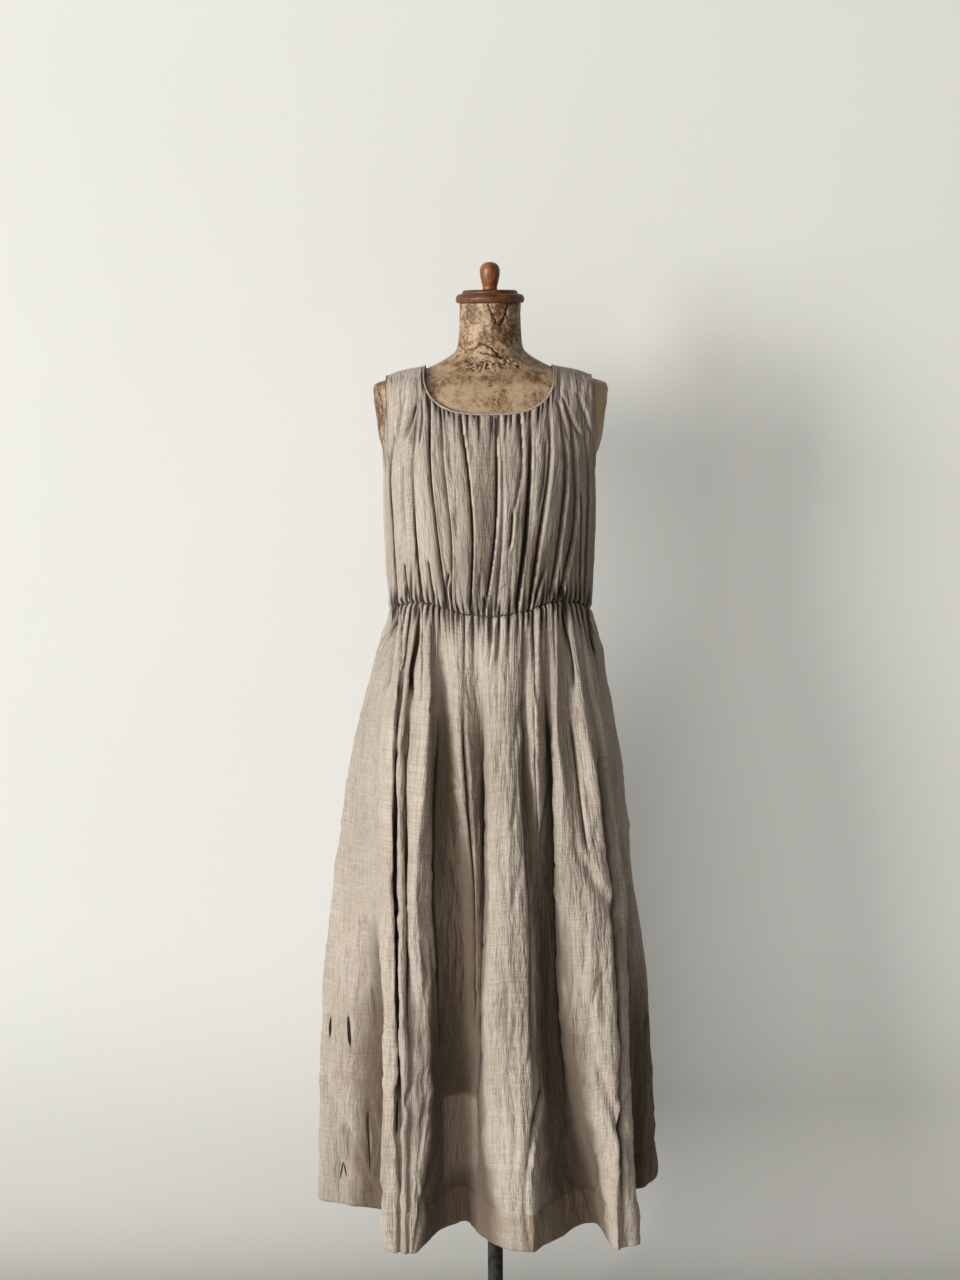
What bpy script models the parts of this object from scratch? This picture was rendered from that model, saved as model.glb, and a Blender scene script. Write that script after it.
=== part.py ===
# Sleeveless gathered linen dress on a limbless dress form with a turned cap, a pole and a round base.
# Metres, +Z up. The dress faces -Y. The origin is on the floor, on the axis of the pole.

import math

import bmesh
import bpy
import numpy as np

# Cloth
WALL = 0.0014
HEM_WALL = 0.0030  # the cloth is turned up and lies double here
HEM_DEPTH = 0.060
SEAM_GAP = 0.0003
MM = 0.001

# Heights of the skirt's sections, and of the seams
WAIST_Z = 1.235
HIP_Z = 1.050
MID_Z = 0.800
LOW_Z = 0.550
HEM_Z = 0.293
HEM_RISE_BACK = 0.035
DRESS_X = -0.0025  # the dress hangs this far off the axis of the form

# Waist and neck
WAIST_HALF = 0.155
WAIST_FRONT = 0.1182
WAIST_BACK = 0.104
GATHER_DEPTH = 0.0020
GATHER_FADE = 0.050
NECK_GATHER_DEPTH = 0.0012
NECK_GATHER_FADE = 0.040
BODICE_BOW = 0.07  # how far the columns spread over the chest between waist and neckline
NECK_ANGLE = 48.0
SHOULDER_ANGLE = 64.5
NECK_HALF = 0.0985
NECK_LOW_FRONT = 1.5225
NECK_LOW_BACK = 1.5660
NECK_ROUNDNESS = 2.8
SHOULDER_HALF = 0.153
SHOULDER_Z = 1.5785
ARMHOLE_LOW_Z = 1.442
BINDING_WIDTH = 0.0050
BINDING_WALL = 0.0022
BINDING_GAP = 0.0006
BINDING_POINTS = 14  # in each quarter of the neckline

# Dress form and stand
FORM_COLUMNS = 36
CAP_Z = 1.6848
CAP_RADIUS = 0.0512
CAP_HEIGHT = 0.0196
KNOB_HEIGHT = 0.0407
POLE_RADIUS = 0.0122
POLE_SIDES = 24
BASE_RADIUS = 0.150
BASE_EDGE = 0.010
BASE_HEIGHT = 0.026
CONTACT_GAP = 0.0003

# Pocket bags
POCKET_TOP_Z = 1.175
POCKET_SEAM_LOW_Z = 1.020
POCKET_LOW_Z = 0.868
POCKET_WALL = 0.0030
POCKET_LEFT_X = -0.032
POCKET_RIGHT_X = 0.076

# A column of faces is at most this wide, and each fold has at least two to a flank.
COLUMN_AT_WAIST = 0.0100
COLUMN_AT_HEM = 0.034
LEAST_COLUMNS = 2

# Plan of each fold line of the skirt, crest or trough, in millimetres, going round from the left side
# seam over the front: x at the waist, then x and y at the hip, mid, low and hem heights.
FRONT_FOLDS = {
    "left seam": (-157.5, -197, 2, -238, 4, -262, 6, -269, 6),
    "left edge": (-153, -206, -35, -247, -40, -269, -50, -276, -76),
    "groove": (-144, -191, -62, -206, -88, -224, -86, -230, -92),
    "behind C": (-139, -179, -82, -184, -112, -160, -115, -154, -120),
    "crest C left": (-133, -167, -100, -163, -150, -166, -188, -168, -234),
    "crest C right": (-123, -147, -122, -150, -162, -148, -200, -150, -243),
    "slit C": (-117, -142, -104, -145, -148, -143, -190, -143, -239),
    "crest D": (-110, -135, -124, -137, -163, -136, -199, -136, -246),
    "slit D": (-104, -128, -114, -129, -152, -128, -191, -130, -243),
    "crest F": (-92, -97, -150, -117, -172, -98, -186, -123, -248),
    "trough G left": (-84, -89, -124, -84, -142, -83, -152, -88, -181),
    "trough G right": (-76, -68, -120, -46, -128, -44, -132, -46, -143),
    "crest H": (-52, -50, -152, -30, -150, -28, -148, -33, -160),
    "trough I": (-24, -18, -134, -15, -157, -20, -180, -23, -184),
    "crest J left": (-2, -3, -160, -5, -186, -11, -208, -8, -208),
    "crest J right": (23, 17, -165, 20, -196, 19, -218, 23, -238),
    "slope K": (39, 38, -158, 48, -186, 51, -216, 54, -246),
    "trough L": (48, 44, -136, 62, -162, 67, -188, 72, -226),
    "crest M": (65, 61, -154, 73, -149, 80, -161, 97, -198),
    "trough N": (81, 82, -124, 87, -140, 99, -150, 129, -158),
    "crest O": (91, 94, -146, 102, -164, 112, -178, 153, -155),
    "hollow P": (104, 114, -124, 142, -168, 145, -200, 167, -206),
    "crest Q": (111, 139, -130, 173, -154, 180, -202, 179, -241),
    "trough R": (121, 153, -96, 185, -122, 187, -184, 189, -232),
    "crest S": (129, 165, -92, 195, -118, 199, -172, 212, -224),
    "trough U": (140, 177, -58, 197, -76, 208, -64, 211, -60),
    "crest W": (147, 187, -34, 216, -36, 242, -28, 242, -38),
}
# The back's, from the right side seam on.
BACK_FOLDS = {
    "right seam": (152.5, 186, 2, 217, 4, 243, 8, 261, 0),
    "trough 1": (142, 172, 52, 196, 60, 214, 62, 226, 66),
    "crest 2": (133, 162, 92, 186, 110, 210, 124, 232, 140),
    "trough 3": (119, 138, 100, 152, 112, 160, 122, 168, 136),
    "crest 4": (105, 124, 127, 144, 151, 158, 170, 176, 190),
    "trough 5": (87, 105, 124, 117, 142, 125, 157, 130, 172),
    "crest 6": (70, 80, 149, 84, 184, 88, 214, 90, 248),
    "trough 7": (51, 60, 130, 62, 142, 60, 151, 60, 162),
    "crest 8": (31, 40, 155, 36, 186, 30, 208, 26, 230),
    "trough 9": (9, 16, 147, 6, 169, -4, 188, -10, 206),
    "crest 10": (-14, -12, 157, -22, 192, -34, 224, -46, 258),
    "trough 11": (-36, -40, 132, -52, 142, -64, 150, -76, 158),
    "crest 12": (-58, -66, 151, -84, 184, -100, 210, -118, 238),
    "trough 13": (-80, -98, 129, -119, 146, -138, 159, -152, 172),
    "crest 14": (-101, -123, 128, -148, 150, -172, 168, -192, 180),
    "trough 15": (-122, -148, 92, -178, 98, -202, 102, -216, 104),
    "crest 16": (-138, -172, 84, -206, 92, -232, 98, -250, 100),
    "trough 17": (-150, -184, 44, -220, 48, -242, 50, -254, 50),
}
FOLD_HEIGHTS = (WAIST_Z, HIP_Z, MID_Z, LOW_Z, HEM_Z)

# Height of the waist seam against the angle round the body: 0 is the front, 90 a side and 180 the back.
WAIST_SEAM = ((0, 1.228), (20, 1.236), (38, 1.247), (62, 1.238), (90, 1.221), (180, 1.226))

# Sections of the dress from waist to shoulder: height, half width, front depth, back depth, squareness.
DRESS_RINGS = (
    (1.215, 0.1550, 0.1180, 0.1040, 2.00),
    (1.235, 0.1552, 0.1185, 0.1040, 2.00),
    (1.300, 0.1590, 0.1270, 0.1060, 2.00),
    (1.375, 0.1612, 0.1310, 0.1080, 2.10),
    (1.420, 0.1606, 0.1280, 0.1090, 2.20),
    (1.442, 0.1600, 0.1245, 0.1090, 2.30),
    (1.455, 0.1615, 0.1220, 0.1095, 2.40),
    (1.466, 0.1680, 0.1190, 0.1110, 2.45),
    (1.482, 0.1740, 0.1140, 0.1100, 2.50),
    (1.510, 0.1780, 0.1000, 0.1045, 2.60),
    (1.530, 0.1805, 0.0915, 0.0985, 2.60),
    (1.550, 0.1830, 0.0845, 0.0925, 2.60),
    (1.563, 0.1840, 0.0810, 0.0885, 2.50),
    (1.570, 0.1765, 0.0790, 0.0860, 2.40),
    (1.5785, 0.1530, 0.0735, 0.0790, 2.20),
    (1.584, 0.1387, 0.0710, 0.0760, 2.10),
    (1.588, 0.1237, 0.0685, 0.0730, 2.00),
    (1.5905, 0.1090, 0.0665, 0.0705, 2.00),
    (1.5924, 0.0985, 0.0650, 0.0690, 2.00),
    (1.5942, 0.0935, 0.0640, 0.0675, 2.00),
    (1.600, 0.0800, 0.0620, 0.0640, 2.00),
)

# Sections of the dress form, the same way.
FORM_RINGS = (
    (0.920, 0.1180, 0.0880, 0.0900, 2.00),
    (0.931, 0.1270, 0.0960, 0.0990, 2.00),
    (0.960, 0.1330, 0.1010, 0.1070, 2.00),
    (1.020, 0.1350, 0.1020, 0.1110, 2.00),
    (1.090, 0.1290, 0.0980, 0.1010, 2.00),
    (1.160, 0.1180, 0.0910, 0.0860, 2.00),
    (1.225, 0.1120, 0.0870, 0.0780, 2.00),
    (1.290, 0.1200, 0.0950, 0.0820, 2.00),
    (1.350, 0.1330, 0.1070, 0.0880, 2.10),
    (1.400, 0.1420, 0.1110, 0.0930, 2.20),
    (1.440, 0.1500, 0.1090, 0.0970, 2.30),
    (1.455, 0.1560, 0.1070, 0.0980, 2.40),
    (1.466, 0.1620, 0.1050, 0.0985, 2.45),
    (1.482, 0.1665, 0.1015, 0.0980, 2.50),
    (1.510, 0.1710, 0.0930, 0.0950, 2.60),
    (1.530, 0.1735, 0.0860, 0.0905, 2.60),
    (1.550, 0.1755, 0.0790, 0.0850, 2.60),
    (1.561, 0.1755, 0.0745, 0.0805, 2.50),
    (1.568, 0.1700, 0.0710, 0.0765, 2.40),
    (1.5725, 0.1550, 0.0685, 0.0730, 2.30),
    (1.578, 0.1400, 0.0655, 0.0695, 2.10),
    (1.583, 0.1237, 0.0630, 0.0665, 2.00),
    (1.586, 0.1060, 0.0605, 0.0635, 2.00),
    (1.588, 0.0985, 0.0595, 0.0620, 2.00),
    (1.593, 0.0865, 0.0570, 0.0590, 2.00),
    (1.598, 0.0765, 0.0550, 0.0562, 2.00),
    (1.604, 0.0655, 0.0530, 0.0536, 2.00),
    (1.610, 0.0565, 0.0508, 0.0512, 2.00),
    (1.616, 0.0512, 0.0488, 0.0490, 2.00),
    (1.624, 0.0483, 0.0472, 0.0474, 2.00),
    (1.640, 0.0463, 0.0460, 0.0460, 2.00),
    (1.665, 0.0455, 0.0455, 0.0455, 2.00),
    (1.6845, 0.0455, 0.0455, 0.0455, 2.00),
)

# Half width of the dress at the armhole's edge, by height.
ARMHOLE_EDGE = (
    (ARMHOLE_LOW_Z, 0.1600),
    (1.475, 0.1570),
    (1.505, 0.1555),
    (1.550, 0.1516),
    (SHOULDER_Z, SHOULDER_HALF),
)
CURVE_POINTS = 400  # points of a neckline or armhole before it is shared out evenly

# Pleats of the bodice, in millimetres: x at four heights, depth at three of them, and half width.
# A negative depth is a raised ridge.
PLEAT_HEIGHTS = (1.525, 1.460, 1.350, 1.240)
PLEAT_DEPTH_HEIGHTS = (1.525, 1.400, 1.240)
FRONT_PLEATS = {
    "left side": (-130, -146, -145, -141, 0, 2, 3, 5),
    "left outer": (-104, -113, -112, -102, 1, 3, 3, 5),
    "left deep": (-87, -88, -78, -65, 3, 5, 4, 5),
    "left ridge": (-70, -67, -58, -57, -2, -3, -3, 5),
    "left inner": (-43, -34, -26, -30, 2, 4, 4, 4),
    "centre": (9, 10, 7, -8, 4, 4, 2, 4),
    "centre ridge": (15, 18, 16, 9, -2, -3, -3, 4),
    "right short": (44, 46, 44, 40, 3, 0, 0, 4),
    "right deep": (60, 59, 53, 39, 2, 5, 5, 6),
    "right ridge": (71, 72, 66, 52, -1, -3, -3, 6),
    "right line": (88, 88, 73, 57, 2, 4, 3, 4),
    "right outer": (104, 112, 104, 86, 1, 3, 3, 5),
    "right far": (118, 125, 126, 98, 0, 3, 3, 5),
    "right side": (136, 146, 147, 144, 0, 2, 3, 4),
}
BACK_PLEATS = {
    "right side": (140, 145, 143, 138, 0, 2, 3, 5),
    "right outer": (84, 106, 108, 96, 1, 3, 3, 6),
    "right inner": (52, 60, 56, 48, 2, 4, 3, 5),
    "centre right": (20, 24, 18, 14, 3, 4, 3, 5),
    "centre left": (-16, -12, -18, -24, 2, 4, 3, 5),
    "left inner": (-54, -58, -60, -52, 2, 4, 4, 5),
    "left outer": (-88, -104, -104, -90, 1, 3, 3, 6),
    "left side": (-140, -146, -144, -140, 0, 2, 3, 5),
}

# Plan of the pocket bags as they hang inside the skirt: height, half width, front depth.
POCKET_RINGS = (
    (0.860, 0.1740, 0.1150),
    (1.020, 0.1680, 0.1130),
    (1.100, 0.1560, 0.1090),
    (1.180, 0.1440, 0.1020),
)

COLOURS = {  # base colour, roughness, metallic
    "linen": ((0.48, 0.41, 0.33), 0.90, 0.0),
    "paper": ((0.39, 0.27, 0.15), 0.55, 0.0),
    "cap wood": ((0.20, 0.09, 0.04), 0.45, 0.0),
    "knob wood": ((0.36, 0.16, 0.06), 0.35, 0.0),
    "iron": ((0.045, 0.05, 0.042), 0.55, 0.8),
}


def clear_scene():
    for old in list(bpy.data.objects):
        bpy.data.objects.remove(old, do_unlink=True)


def material(name):
    found = bpy.data.materials.get(name)
    if found:
        return found
    colour, roughness, metallic = COLOURS[name]
    made = bpy.data.materials.new(name)
    made.use_nodes = True
    shader = made.node_tree.nodes["Principled BSDF"]
    shader.inputs["Base Color"].default_value = (*colour, 1)
    shader.inputs["Roughness"].default_value = roughness
    shader.inputs["Metallic"].default_value = metallic
    return made


def add_object(name, mesh, material_name, collection):
    made = bpy.data.objects.new(name, mesh)
    mesh.materials.append(material(material_name))
    mesh.shade_smooth()
    mesh.set_sharp_from_angle(angle=math.radians(40))
    collection.objects.link(made)
    return made


# Curves through tables

def smooth_between(heights, values, at):
    """A cubic through values given at rising heights, with each slope set by its neighbours."""
    heights = np.asarray(heights, float)
    values = np.asarray(values, float)
    slopes = np.gradient(values, heights, axis=0)
    at = np.clip(at, heights[0], heights[-1])
    i = np.clip(np.searchsorted(heights, at, side="right") - 1, 0, len(heights) - 2)
    span = heights[i + 1] - heights[i]
    t = (at - heights[i]) / span
    extra = (1,) * (values.ndim - 1)
    t, span = t.reshape(t.shape + extra), span.reshape(span.shape + extra)
    return (
        (2 * t**3 - 3 * t**2 + 1) * values[i]
        + (t**3 - 2 * t**2 + t) * span * slopes[i]
        + (3 * t**2 - 2 * t**3) * values[i + 1]
        + (t**3 - t**2) * span * slopes[i + 1]
    )


def table_at(table, at):
    rows = np.array(table, float)
    return [np.interp(at, rows[:, 0], rows[:, c]) for c in range(1, rows.shape[1])]


def curve_through(points, counts):
    """Closed centripetal curve through points[row, line, xy], with counts[line] steps after each line."""
    before = np.roll(points, 1, axis=1)
    after = np.roll(points, -1, axis=1)
    later = np.roll(points, -2, axis=1)

    def knot(a, b):
        return np.maximum(np.linalg.norm(b - a, axis=-1, keepdims=True), 1e-6) ** 0.5

    t0 = np.zeros(points.shape[:2] + (1,))
    t1 = t0 + knot(before, points)
    t2 = t1 + knot(points, after)
    t3 = t2 + knot(after, later)
    columns = []
    for line, steps in enumerate(counts):
        p0, p1, p2, p3 = (p[:, line] for p in (before, points, after, later))
        k0, k1, k2, k3 = (k[:, line] for k in (t0, t1, t2, t3))
        for step in range(steps):
            t = k1 + (k2 - k1) * step / steps
            a1 = (k1 - t) / (k1 - k0) * p0 + (t - k0) / (k1 - k0) * p1
            a2 = (k2 - t) / (k2 - k1) * p1 + (t - k1) / (k2 - k1) * p2
            a3 = (k3 - t) / (k3 - k2) * p2 + (t - k2) / (k3 - k2) * p3
            b1 = (k2 - t) / (k2 - k0) * a1 + (t - k0) / (k2 - k0) * a2
            b2 = (k3 - t) / (k3 - k1) * a2 + (t - k1) / (k3 - k1) * a3
            columns.append((k2 - t) / (k2 - k1) * b1 + (t - k1) / (k2 - k1) * b2)
    return np.stack(columns, axis=1)


# The skirt

def fold_lines():
    """Plan points of the fold lines, [height, line, xy], from the waist down."""
    lines = []
    for table, depth in ((FRONT_FOLDS, -WAIST_FRONT), (BACK_FOLDS, WAIST_BACK)):
        for row in table.values():
            waist_x = row[0] * MM
            share = np.clip((waist_x - DRESS_X) / WAIST_HALF, -1, 1)
            waist = (waist_x, depth * math.sqrt(1 - share * share))
            lines.append([waist, *((row[i] * MM, row[i + 1] * MM) for i in (1, 3, 5, 7))])
    return np.transpose(np.array(lines), (1, 0, 2))


def waist_seam_z(x, y):
    """Height of the waist seam at plan points: it rises to either side of the centre."""
    angle = np.degrees(np.arctan2(np.abs(x - DRESS_X) / WAIST_HALF, -y / WAIST_FRONT))
    rows = np.array(WAIST_SEAM, float)
    return smooth_between(rows[:, 0], rows[:, 1], angle)


def column_counts(lines):
    """Columns of faces from each fold line to the next, from how far apart they are at the waist and hem."""
    spread = np.linalg.norm(np.roll(lines, -1, axis=1) - lines, axis=-1)
    wanted = np.maximum(spread[0] / COLUMN_AT_WAIST, spread[-1] / COLUMN_AT_HEM)
    return np.maximum(np.ceil(wanted), LEAST_COLUMNS).astype(int)


def gathers(total, seam):
    """How far each column stands out at the waist: every other one, but not the side seams."""
    column = np.arange(total)
    stands = np.where(column % 2, 1, -1) * GATHER_DEPTH
    return np.where(np.isin(column, (0, seam)), 0, stands)


def skirt_surface():
    """Outer points [row, column, xyz], inward directions and wall of the whole skirt, and its seam column."""
    lines = fold_lines()
    counts = column_counts(lines)
    hem_top = (WAIST_Z - HEM_Z - HEM_DEPTH) / (WAIST_Z - HEM_Z)
    shares = np.array([0, 0.013, 0.04, 0.09, 0.16, 0.28, 0.44, 0.62, 0.79, hem_top, hem_top + 0.002, 1])
    level_shares = (WAIST_Z - np.array(FOLD_HEIGHTS)) / (WAIST_Z - HEM_Z)
    plan = curve_through(smooth_between(level_shares, lines, shares), counts)
    waist_z = waist_seam_z(plan[0, :, 0], plan[0, :, 1])
    towards_back = (1 + np.sin(np.arctan2(plan[-1, :, 1], np.abs(plan[-1, :, 0])))) / 2
    hem_z = HEM_Z + HEM_RISE_BACK * towards_back**2
    z = waist_z + (hem_z - waist_z) * shares[:, None]
    along = np.roll(plan, -1, axis=1) - np.roll(plan, 1, axis=1)
    along /= np.linalg.norm(along, axis=-1, keepdims=True)
    inward = np.stack([-along[..., 1], along[..., 0]], axis=-1)
    seam = int(counts[: len(FRONT_FOLDS)].sum())
    fade = np.exp(-((waist_z - z) / GATHER_FADE) ** 2)
    plan = plan - inward * (gathers(len(waist_z), seam) * fade)[..., None]
    points = np.concatenate([plan, z[..., None]], axis=-1)
    inward = np.concatenate([inward, np.zeros_like(z)[..., None]], axis=-1)
    wall = np.where(shares > hem_top + 0.001, HEM_WALL, WALL)[:, None, None]
    return points, inward, np.broadcast_to(wall, z.shape + (1,)), seam


def panel_of(points, inward, wall, columns):
    """Outer and inner faces of one panel, drawn back from its two side seams by half the gap."""
    outer = points[:, columns].copy()
    inner = outer + inward[:, columns] * wall[:, columns]
    for end, beside in ((0, 1), (-1, -2)):
        towards = outer[:, beside] - outer[:, end]
        towards[:, 2] = 0
        towards /= np.linalg.norm(towards, axis=-1, keepdims=True)
        outer[:, end] += towards * SEAM_GAP / 2
        inner[:, end] += towards * SEAM_GAP / 2
    return outer, inner


def wall_mesh(name, outer, inner):
    """Closed body between two grids of points. The columns run so that the outer face looks out."""
    rows, columns = outer.shape[:2]
    index = np.arange(rows * columns).reshape(rows, columns)
    behind = index + rows * columns

    def quads(*corners):
        return np.stack([corner.ravel() for corner in corners], axis=1)

    # Both sheets are cut along the same diagonals, the shorter ones, so a twisted patch keeps its thickness.
    rising = np.linalg.norm(outer[1:, :-1] - outer[:-1, 1:], axis=-1)
    falling = np.linalg.norm(outer[1:, 1:] - outer[:-1, :-1], axis=-1)
    cut = (rising < falling).ravel()
    sheets = []
    for sheet, turn in ((index, 1), (behind, -1)):
        low_left, low_right = sheet[1:, :-1], sheet[1:, 1:]
        up_left, up_right = sheet[:-1, :-1], sheet[:-1, 1:]
        sheets += [
            quads(low_left, low_right, up_right)[cut, ::turn],
            quads(low_left, up_right, up_left)[cut, ::turn],
            quads(low_left, low_right, up_left)[~cut, ::turn],
            quads(low_right, up_right, up_left)[~cut, ::turn],
        ]
    rim = [
        quads(index[0, :-1], index[0, 1:], behind[0, 1:], behind[0, :-1]),
        quads(index[-1, 1:], index[-1, :-1], behind[-1, :-1], behind[-1, 1:]),
        quads(index[1:, 0], index[:-1, 0], behind[:-1, 0], behind[1:, 0]),
        quads(index[:-1, -1], index[1:, -1], behind[1:, -1], behind[:-1, -1]),
    ]
    mesh = bpy.data.meshes.new(name)
    points = np.concatenate([outer.reshape(-1, 3), inner.reshape(-1, 3)])
    faces = np.concatenate(sheets).tolist() + np.concatenate(rim).tolist()
    mesh.from_pydata(points.tolist(), [], faces)
    mesh.validate()
    return mesh


def build_skirt(collection):
    points, inward, wall, seam = skirt_surface()
    points = points.copy()
    points[0, :, 2] -= SEAM_GAP / 2
    total = points.shape[1]
    for name, columns in (
        ("skirt_front", np.arange(seam + 1)),
        ("skirt_back", np.arange(seam, total + 1) % total),
    ):
        outer, inner = panel_of(points, inward, wall, columns)
        add_object(name, wall_mesh(name, outer, inner), "linen", collection)


# The bodice

def body_point(rings, x, z, side):
    """Point of a stack of squared ellipses at x and z, on the front (side -1) or the back (side 1)."""
    half, front, back, power = table_at(rings, z)
    depth = np.where(side < 0, front, back)
    share = np.clip(np.abs(x) / half, 0, 1)
    return np.stack([x, side * depth * (1 - share**power) ** (1 / power), z], axis=-1)


def body_normal(rings, point):
    """Outward direction at a point of such a stack, from how fast its equation changes."""
    def level(p):
        half, front, back, power = table_at(rings, p[..., 2])
        depth = np.where(p[..., 1] < 0, front, back)
        return np.abs(p[..., 0] / half) ** power + np.abs(p[..., 1] / depth) ** power

    step = 2e-4
    slopes = [
        level(point + step * axis) - level(point - step * axis) for axis in np.eye(3)
    ]
    normal = np.stack(slopes, axis=-1)
    return normal / np.linalg.norm(normal, axis=-1, keepdims=True)


def shoulder_top(half_width):
    """Height at which the dress is this wide, on top of the shoulder."""
    rows = np.array([row for row in DRESS_RINGS if row[0] >= 1.563], float)[::-1]
    return np.interp(half_width, rows[:, 1], rows[:, 0])


def evenly(points, shares):
    """Points of a curve at shares of its length."""
    steps = np.linalg.norm(np.diff(points, axis=0), axis=1)
    length = np.concatenate([[0], np.cumsum(steps)])
    return np.stack([np.interp(shares, length / length[-1], points[:, c]) for c in range(3)], axis=-1)


def neck_curve(shares, side, inset):
    """Half the neckline, from its low centre (0) to the shoulder (1), inset from the bodice's own edge."""
    half = NECK_HALF - inset
    low = (NECK_LOW_FRONT if side < 0 else NECK_LOW_BACK) + inset
    top = shoulder_top(half)
    down = np.linspace(1, 0, CURVE_POINTS)  # square root of the drop below the shoulder
    x = half * (1 - down ** (2 * NECK_ROUNDNESS)) ** (1 / NECK_ROUNDNESS)
    return evenly(body_point(DRESS_RINGS, x, top - (top - low) * down**2, side), shares)


def armhole_curve(shares, side):
    """Half the armhole, from the shoulder (0) to the side seam (1)."""
    down = np.linspace(0, 1, CURVE_POINTS)
    z = SHOULDER_Z + (ARMHOLE_LOW_Z - SHOULDER_Z) * down**2 * (3 - 2 * down)
    (x,) = table_at(ARMHOLE_EDGE, z)
    return evenly(body_point(DRESS_RINGS, x, z, side), shares)


def top_outline(angle, side):
    """Where the bodice ends above each waist angle: neckline, then shoulder, then armhole."""
    size = np.abs(angle)
    neck = neck_curve(np.clip(size / NECK_ANGLE, 0, 1), side, 0)
    along = np.clip((size - NECK_ANGLE) / (SHOULDER_ANGLE - NECK_ANGLE), 0, 1)
    shoulder_x = NECK_HALF + (SHOULDER_HALF - NECK_HALF) * along
    shoulder = np.stack([shoulder_x, np.zeros_like(shoulder_x), shoulder_top(shoulder_x)], axis=-1)
    down = np.clip((size - SHOULDER_ANGLE) / (90 - SHOULDER_ANGLE), 0, 1)
    arm = armhole_curve(down, side)
    top = np.where((size <= SHOULDER_ANGLE)[:, None], shoulder, arm)
    top = np.where((size <= NECK_ANGLE)[:, None], neck, top)
    top[:, 0] *= np.sign(angle)
    return top


def pleat_relief(pleats, x, z):
    """Outward displacement of the bodice: a trough or a ridge along each pleat."""
    relief = np.zeros_like(x)
    for row in pleats.values():
        place = smooth_between(PLEAT_HEIGHTS[::-1], row[3::-1], z) * MM
        depth = np.interp(z, PLEAT_DEPTH_HEIGHTS[::-1], row[6:3:-1]) * MM
        relief -= depth * np.exp(-(((x - place) / (row[7] * MM)) ** 2))
    return relief


def bodice_panel(waist, gather, side):
    """Outer and inner faces over the waist points of one side, in the skirt's own columns."""
    angle = np.degrees(np.arcsin(np.clip((waist[:, 0] - DRESS_X) / WAIST_HALF, -1, 1)))
    shares = np.array([0, 0.03, 0.09, 0.20, 0.38, 0.56, 0.73, 0.84, 0.91, 0.96, 1])[:, None]
    top = top_outline(angle, side)
    top_x, top_z = top[:, 0], top[:, 2]
    bottom_z = waist[:, 2] + SEAM_GAP / 2
    z = bottom_z + (top_z - bottom_z) * (1 - (1 - shares) ** 1.5)
    straight = waist[:, 0] - DRESS_X + (top_x - waist[:, 0] + DRESS_X) * shares
    bow = BODICE_BOW * np.clip((SHOULDER_ANGLE - np.abs(angle)) / 30, 0, 1)
    bowed = straight * (1 + bow * np.sin(np.pi * shares))
    half = table_at(DRESS_RINGS, z)[0]
    top_half = table_at(DRESS_RINGS, top_z)[0]
    start_share = np.sin(np.radians(angle))
    by_share = half * (start_share + (top_x / top_half - start_share) * shares)
    near_seam = np.clip((np.abs(angle) - 78) / 12, 0, 1)
    near_seam = near_seam**2 * (3 - 2 * near_seam)
    x = np.clip(bowed + (by_share - bowed) * near_seam, -half, half)
    on_body = body_point(DRESS_RINGS, x, z, side)
    on_body[-1] = top
    normal = body_normal(DRESS_RINGS, on_body)
    flank = np.abs(angle) > 89.9
    normal[:, flank] = np.sign(angle[flank])[:, None] * np.array([1, 0, 0])
    pleats = FRONT_PLEATS if side < 0 else BACK_PLEATS
    away_from_edges = np.clip((top_z - z) / 0.030, 0, 1) * np.clip((90 - np.abs(angle)) / 6, 0, 1)
    neckward = np.abs(angle) < NECK_ANGLE
    relief = pleat_relief(pleats, x, z) * np.where(neckward, 1, away_from_edges)
    relief *= np.clip((90 - np.abs(angle)) / 3, 0, 1) * np.clip((z - bottom_z) / 0.02, 0, 1)
    relief += gather * np.exp(-((z - bottom_z) / GATHER_FADE) ** 2)
    neck_gather = np.sign(gather) * NECK_GATHER_DEPTH * np.clip((NECK_ANGLE - np.abs(angle)) / 6, 0, 1)
    relief += neck_gather * np.exp(-((top_z - z) / NECK_GATHER_FADE) ** 2)
    outer = on_body + normal * relief[..., None]
    outer[..., 0] += DRESS_X
    outer[0, :, 2] = bottom_z
    inner = outer - normal * WALL
    inner[0, :, 2] = bottom_z
    # Half the gap at the shoulder seam and at the side seams.
    shoulder = (np.abs(angle) > NECK_ANGLE - 1) & (np.abs(angle) < SHOULDER_ANGLE + 1)
    for grid in (outer, inner):
        grid[-1, shoulder, 1] = side * np.maximum(side * grid[-1, shoulder, 1], SEAM_GAP / 2)
        grid[:, flank, 1] = side * SEAM_GAP / 2
    return outer, inner


def build_bodice(collection):
    points, inward, wall, seam = skirt_surface()
    total = points.shape[1]
    outer_edge = points[0]
    inner_edge = outer_edge + inward[0] * wall[0]
    gather = gathers(total, seam)
    waist = outer_edge + inward[0] * gather[:, None]
    for name, side, columns in (
        ("bodice_front", -1, np.arange(seam + 1)),
        ("bodice_back", 1, np.arange(seam, total + 1) % total),
    ):
        outer, inner = bodice_panel(waist[columns], gather[columns], side)
        for grid, edge in ((outer, outer_edge), (inner, inner_edge)):
            inside = columns[1:-1]
            grid[0, 1:-1, :2] = edge[inside, :2]
        # The grids run from the waist up, and the skirt's from the waist down.
        mesh = wall_mesh(name, outer[::-1], inner[::-1])
        add_object(name, mesh, "linen", collection)


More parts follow.
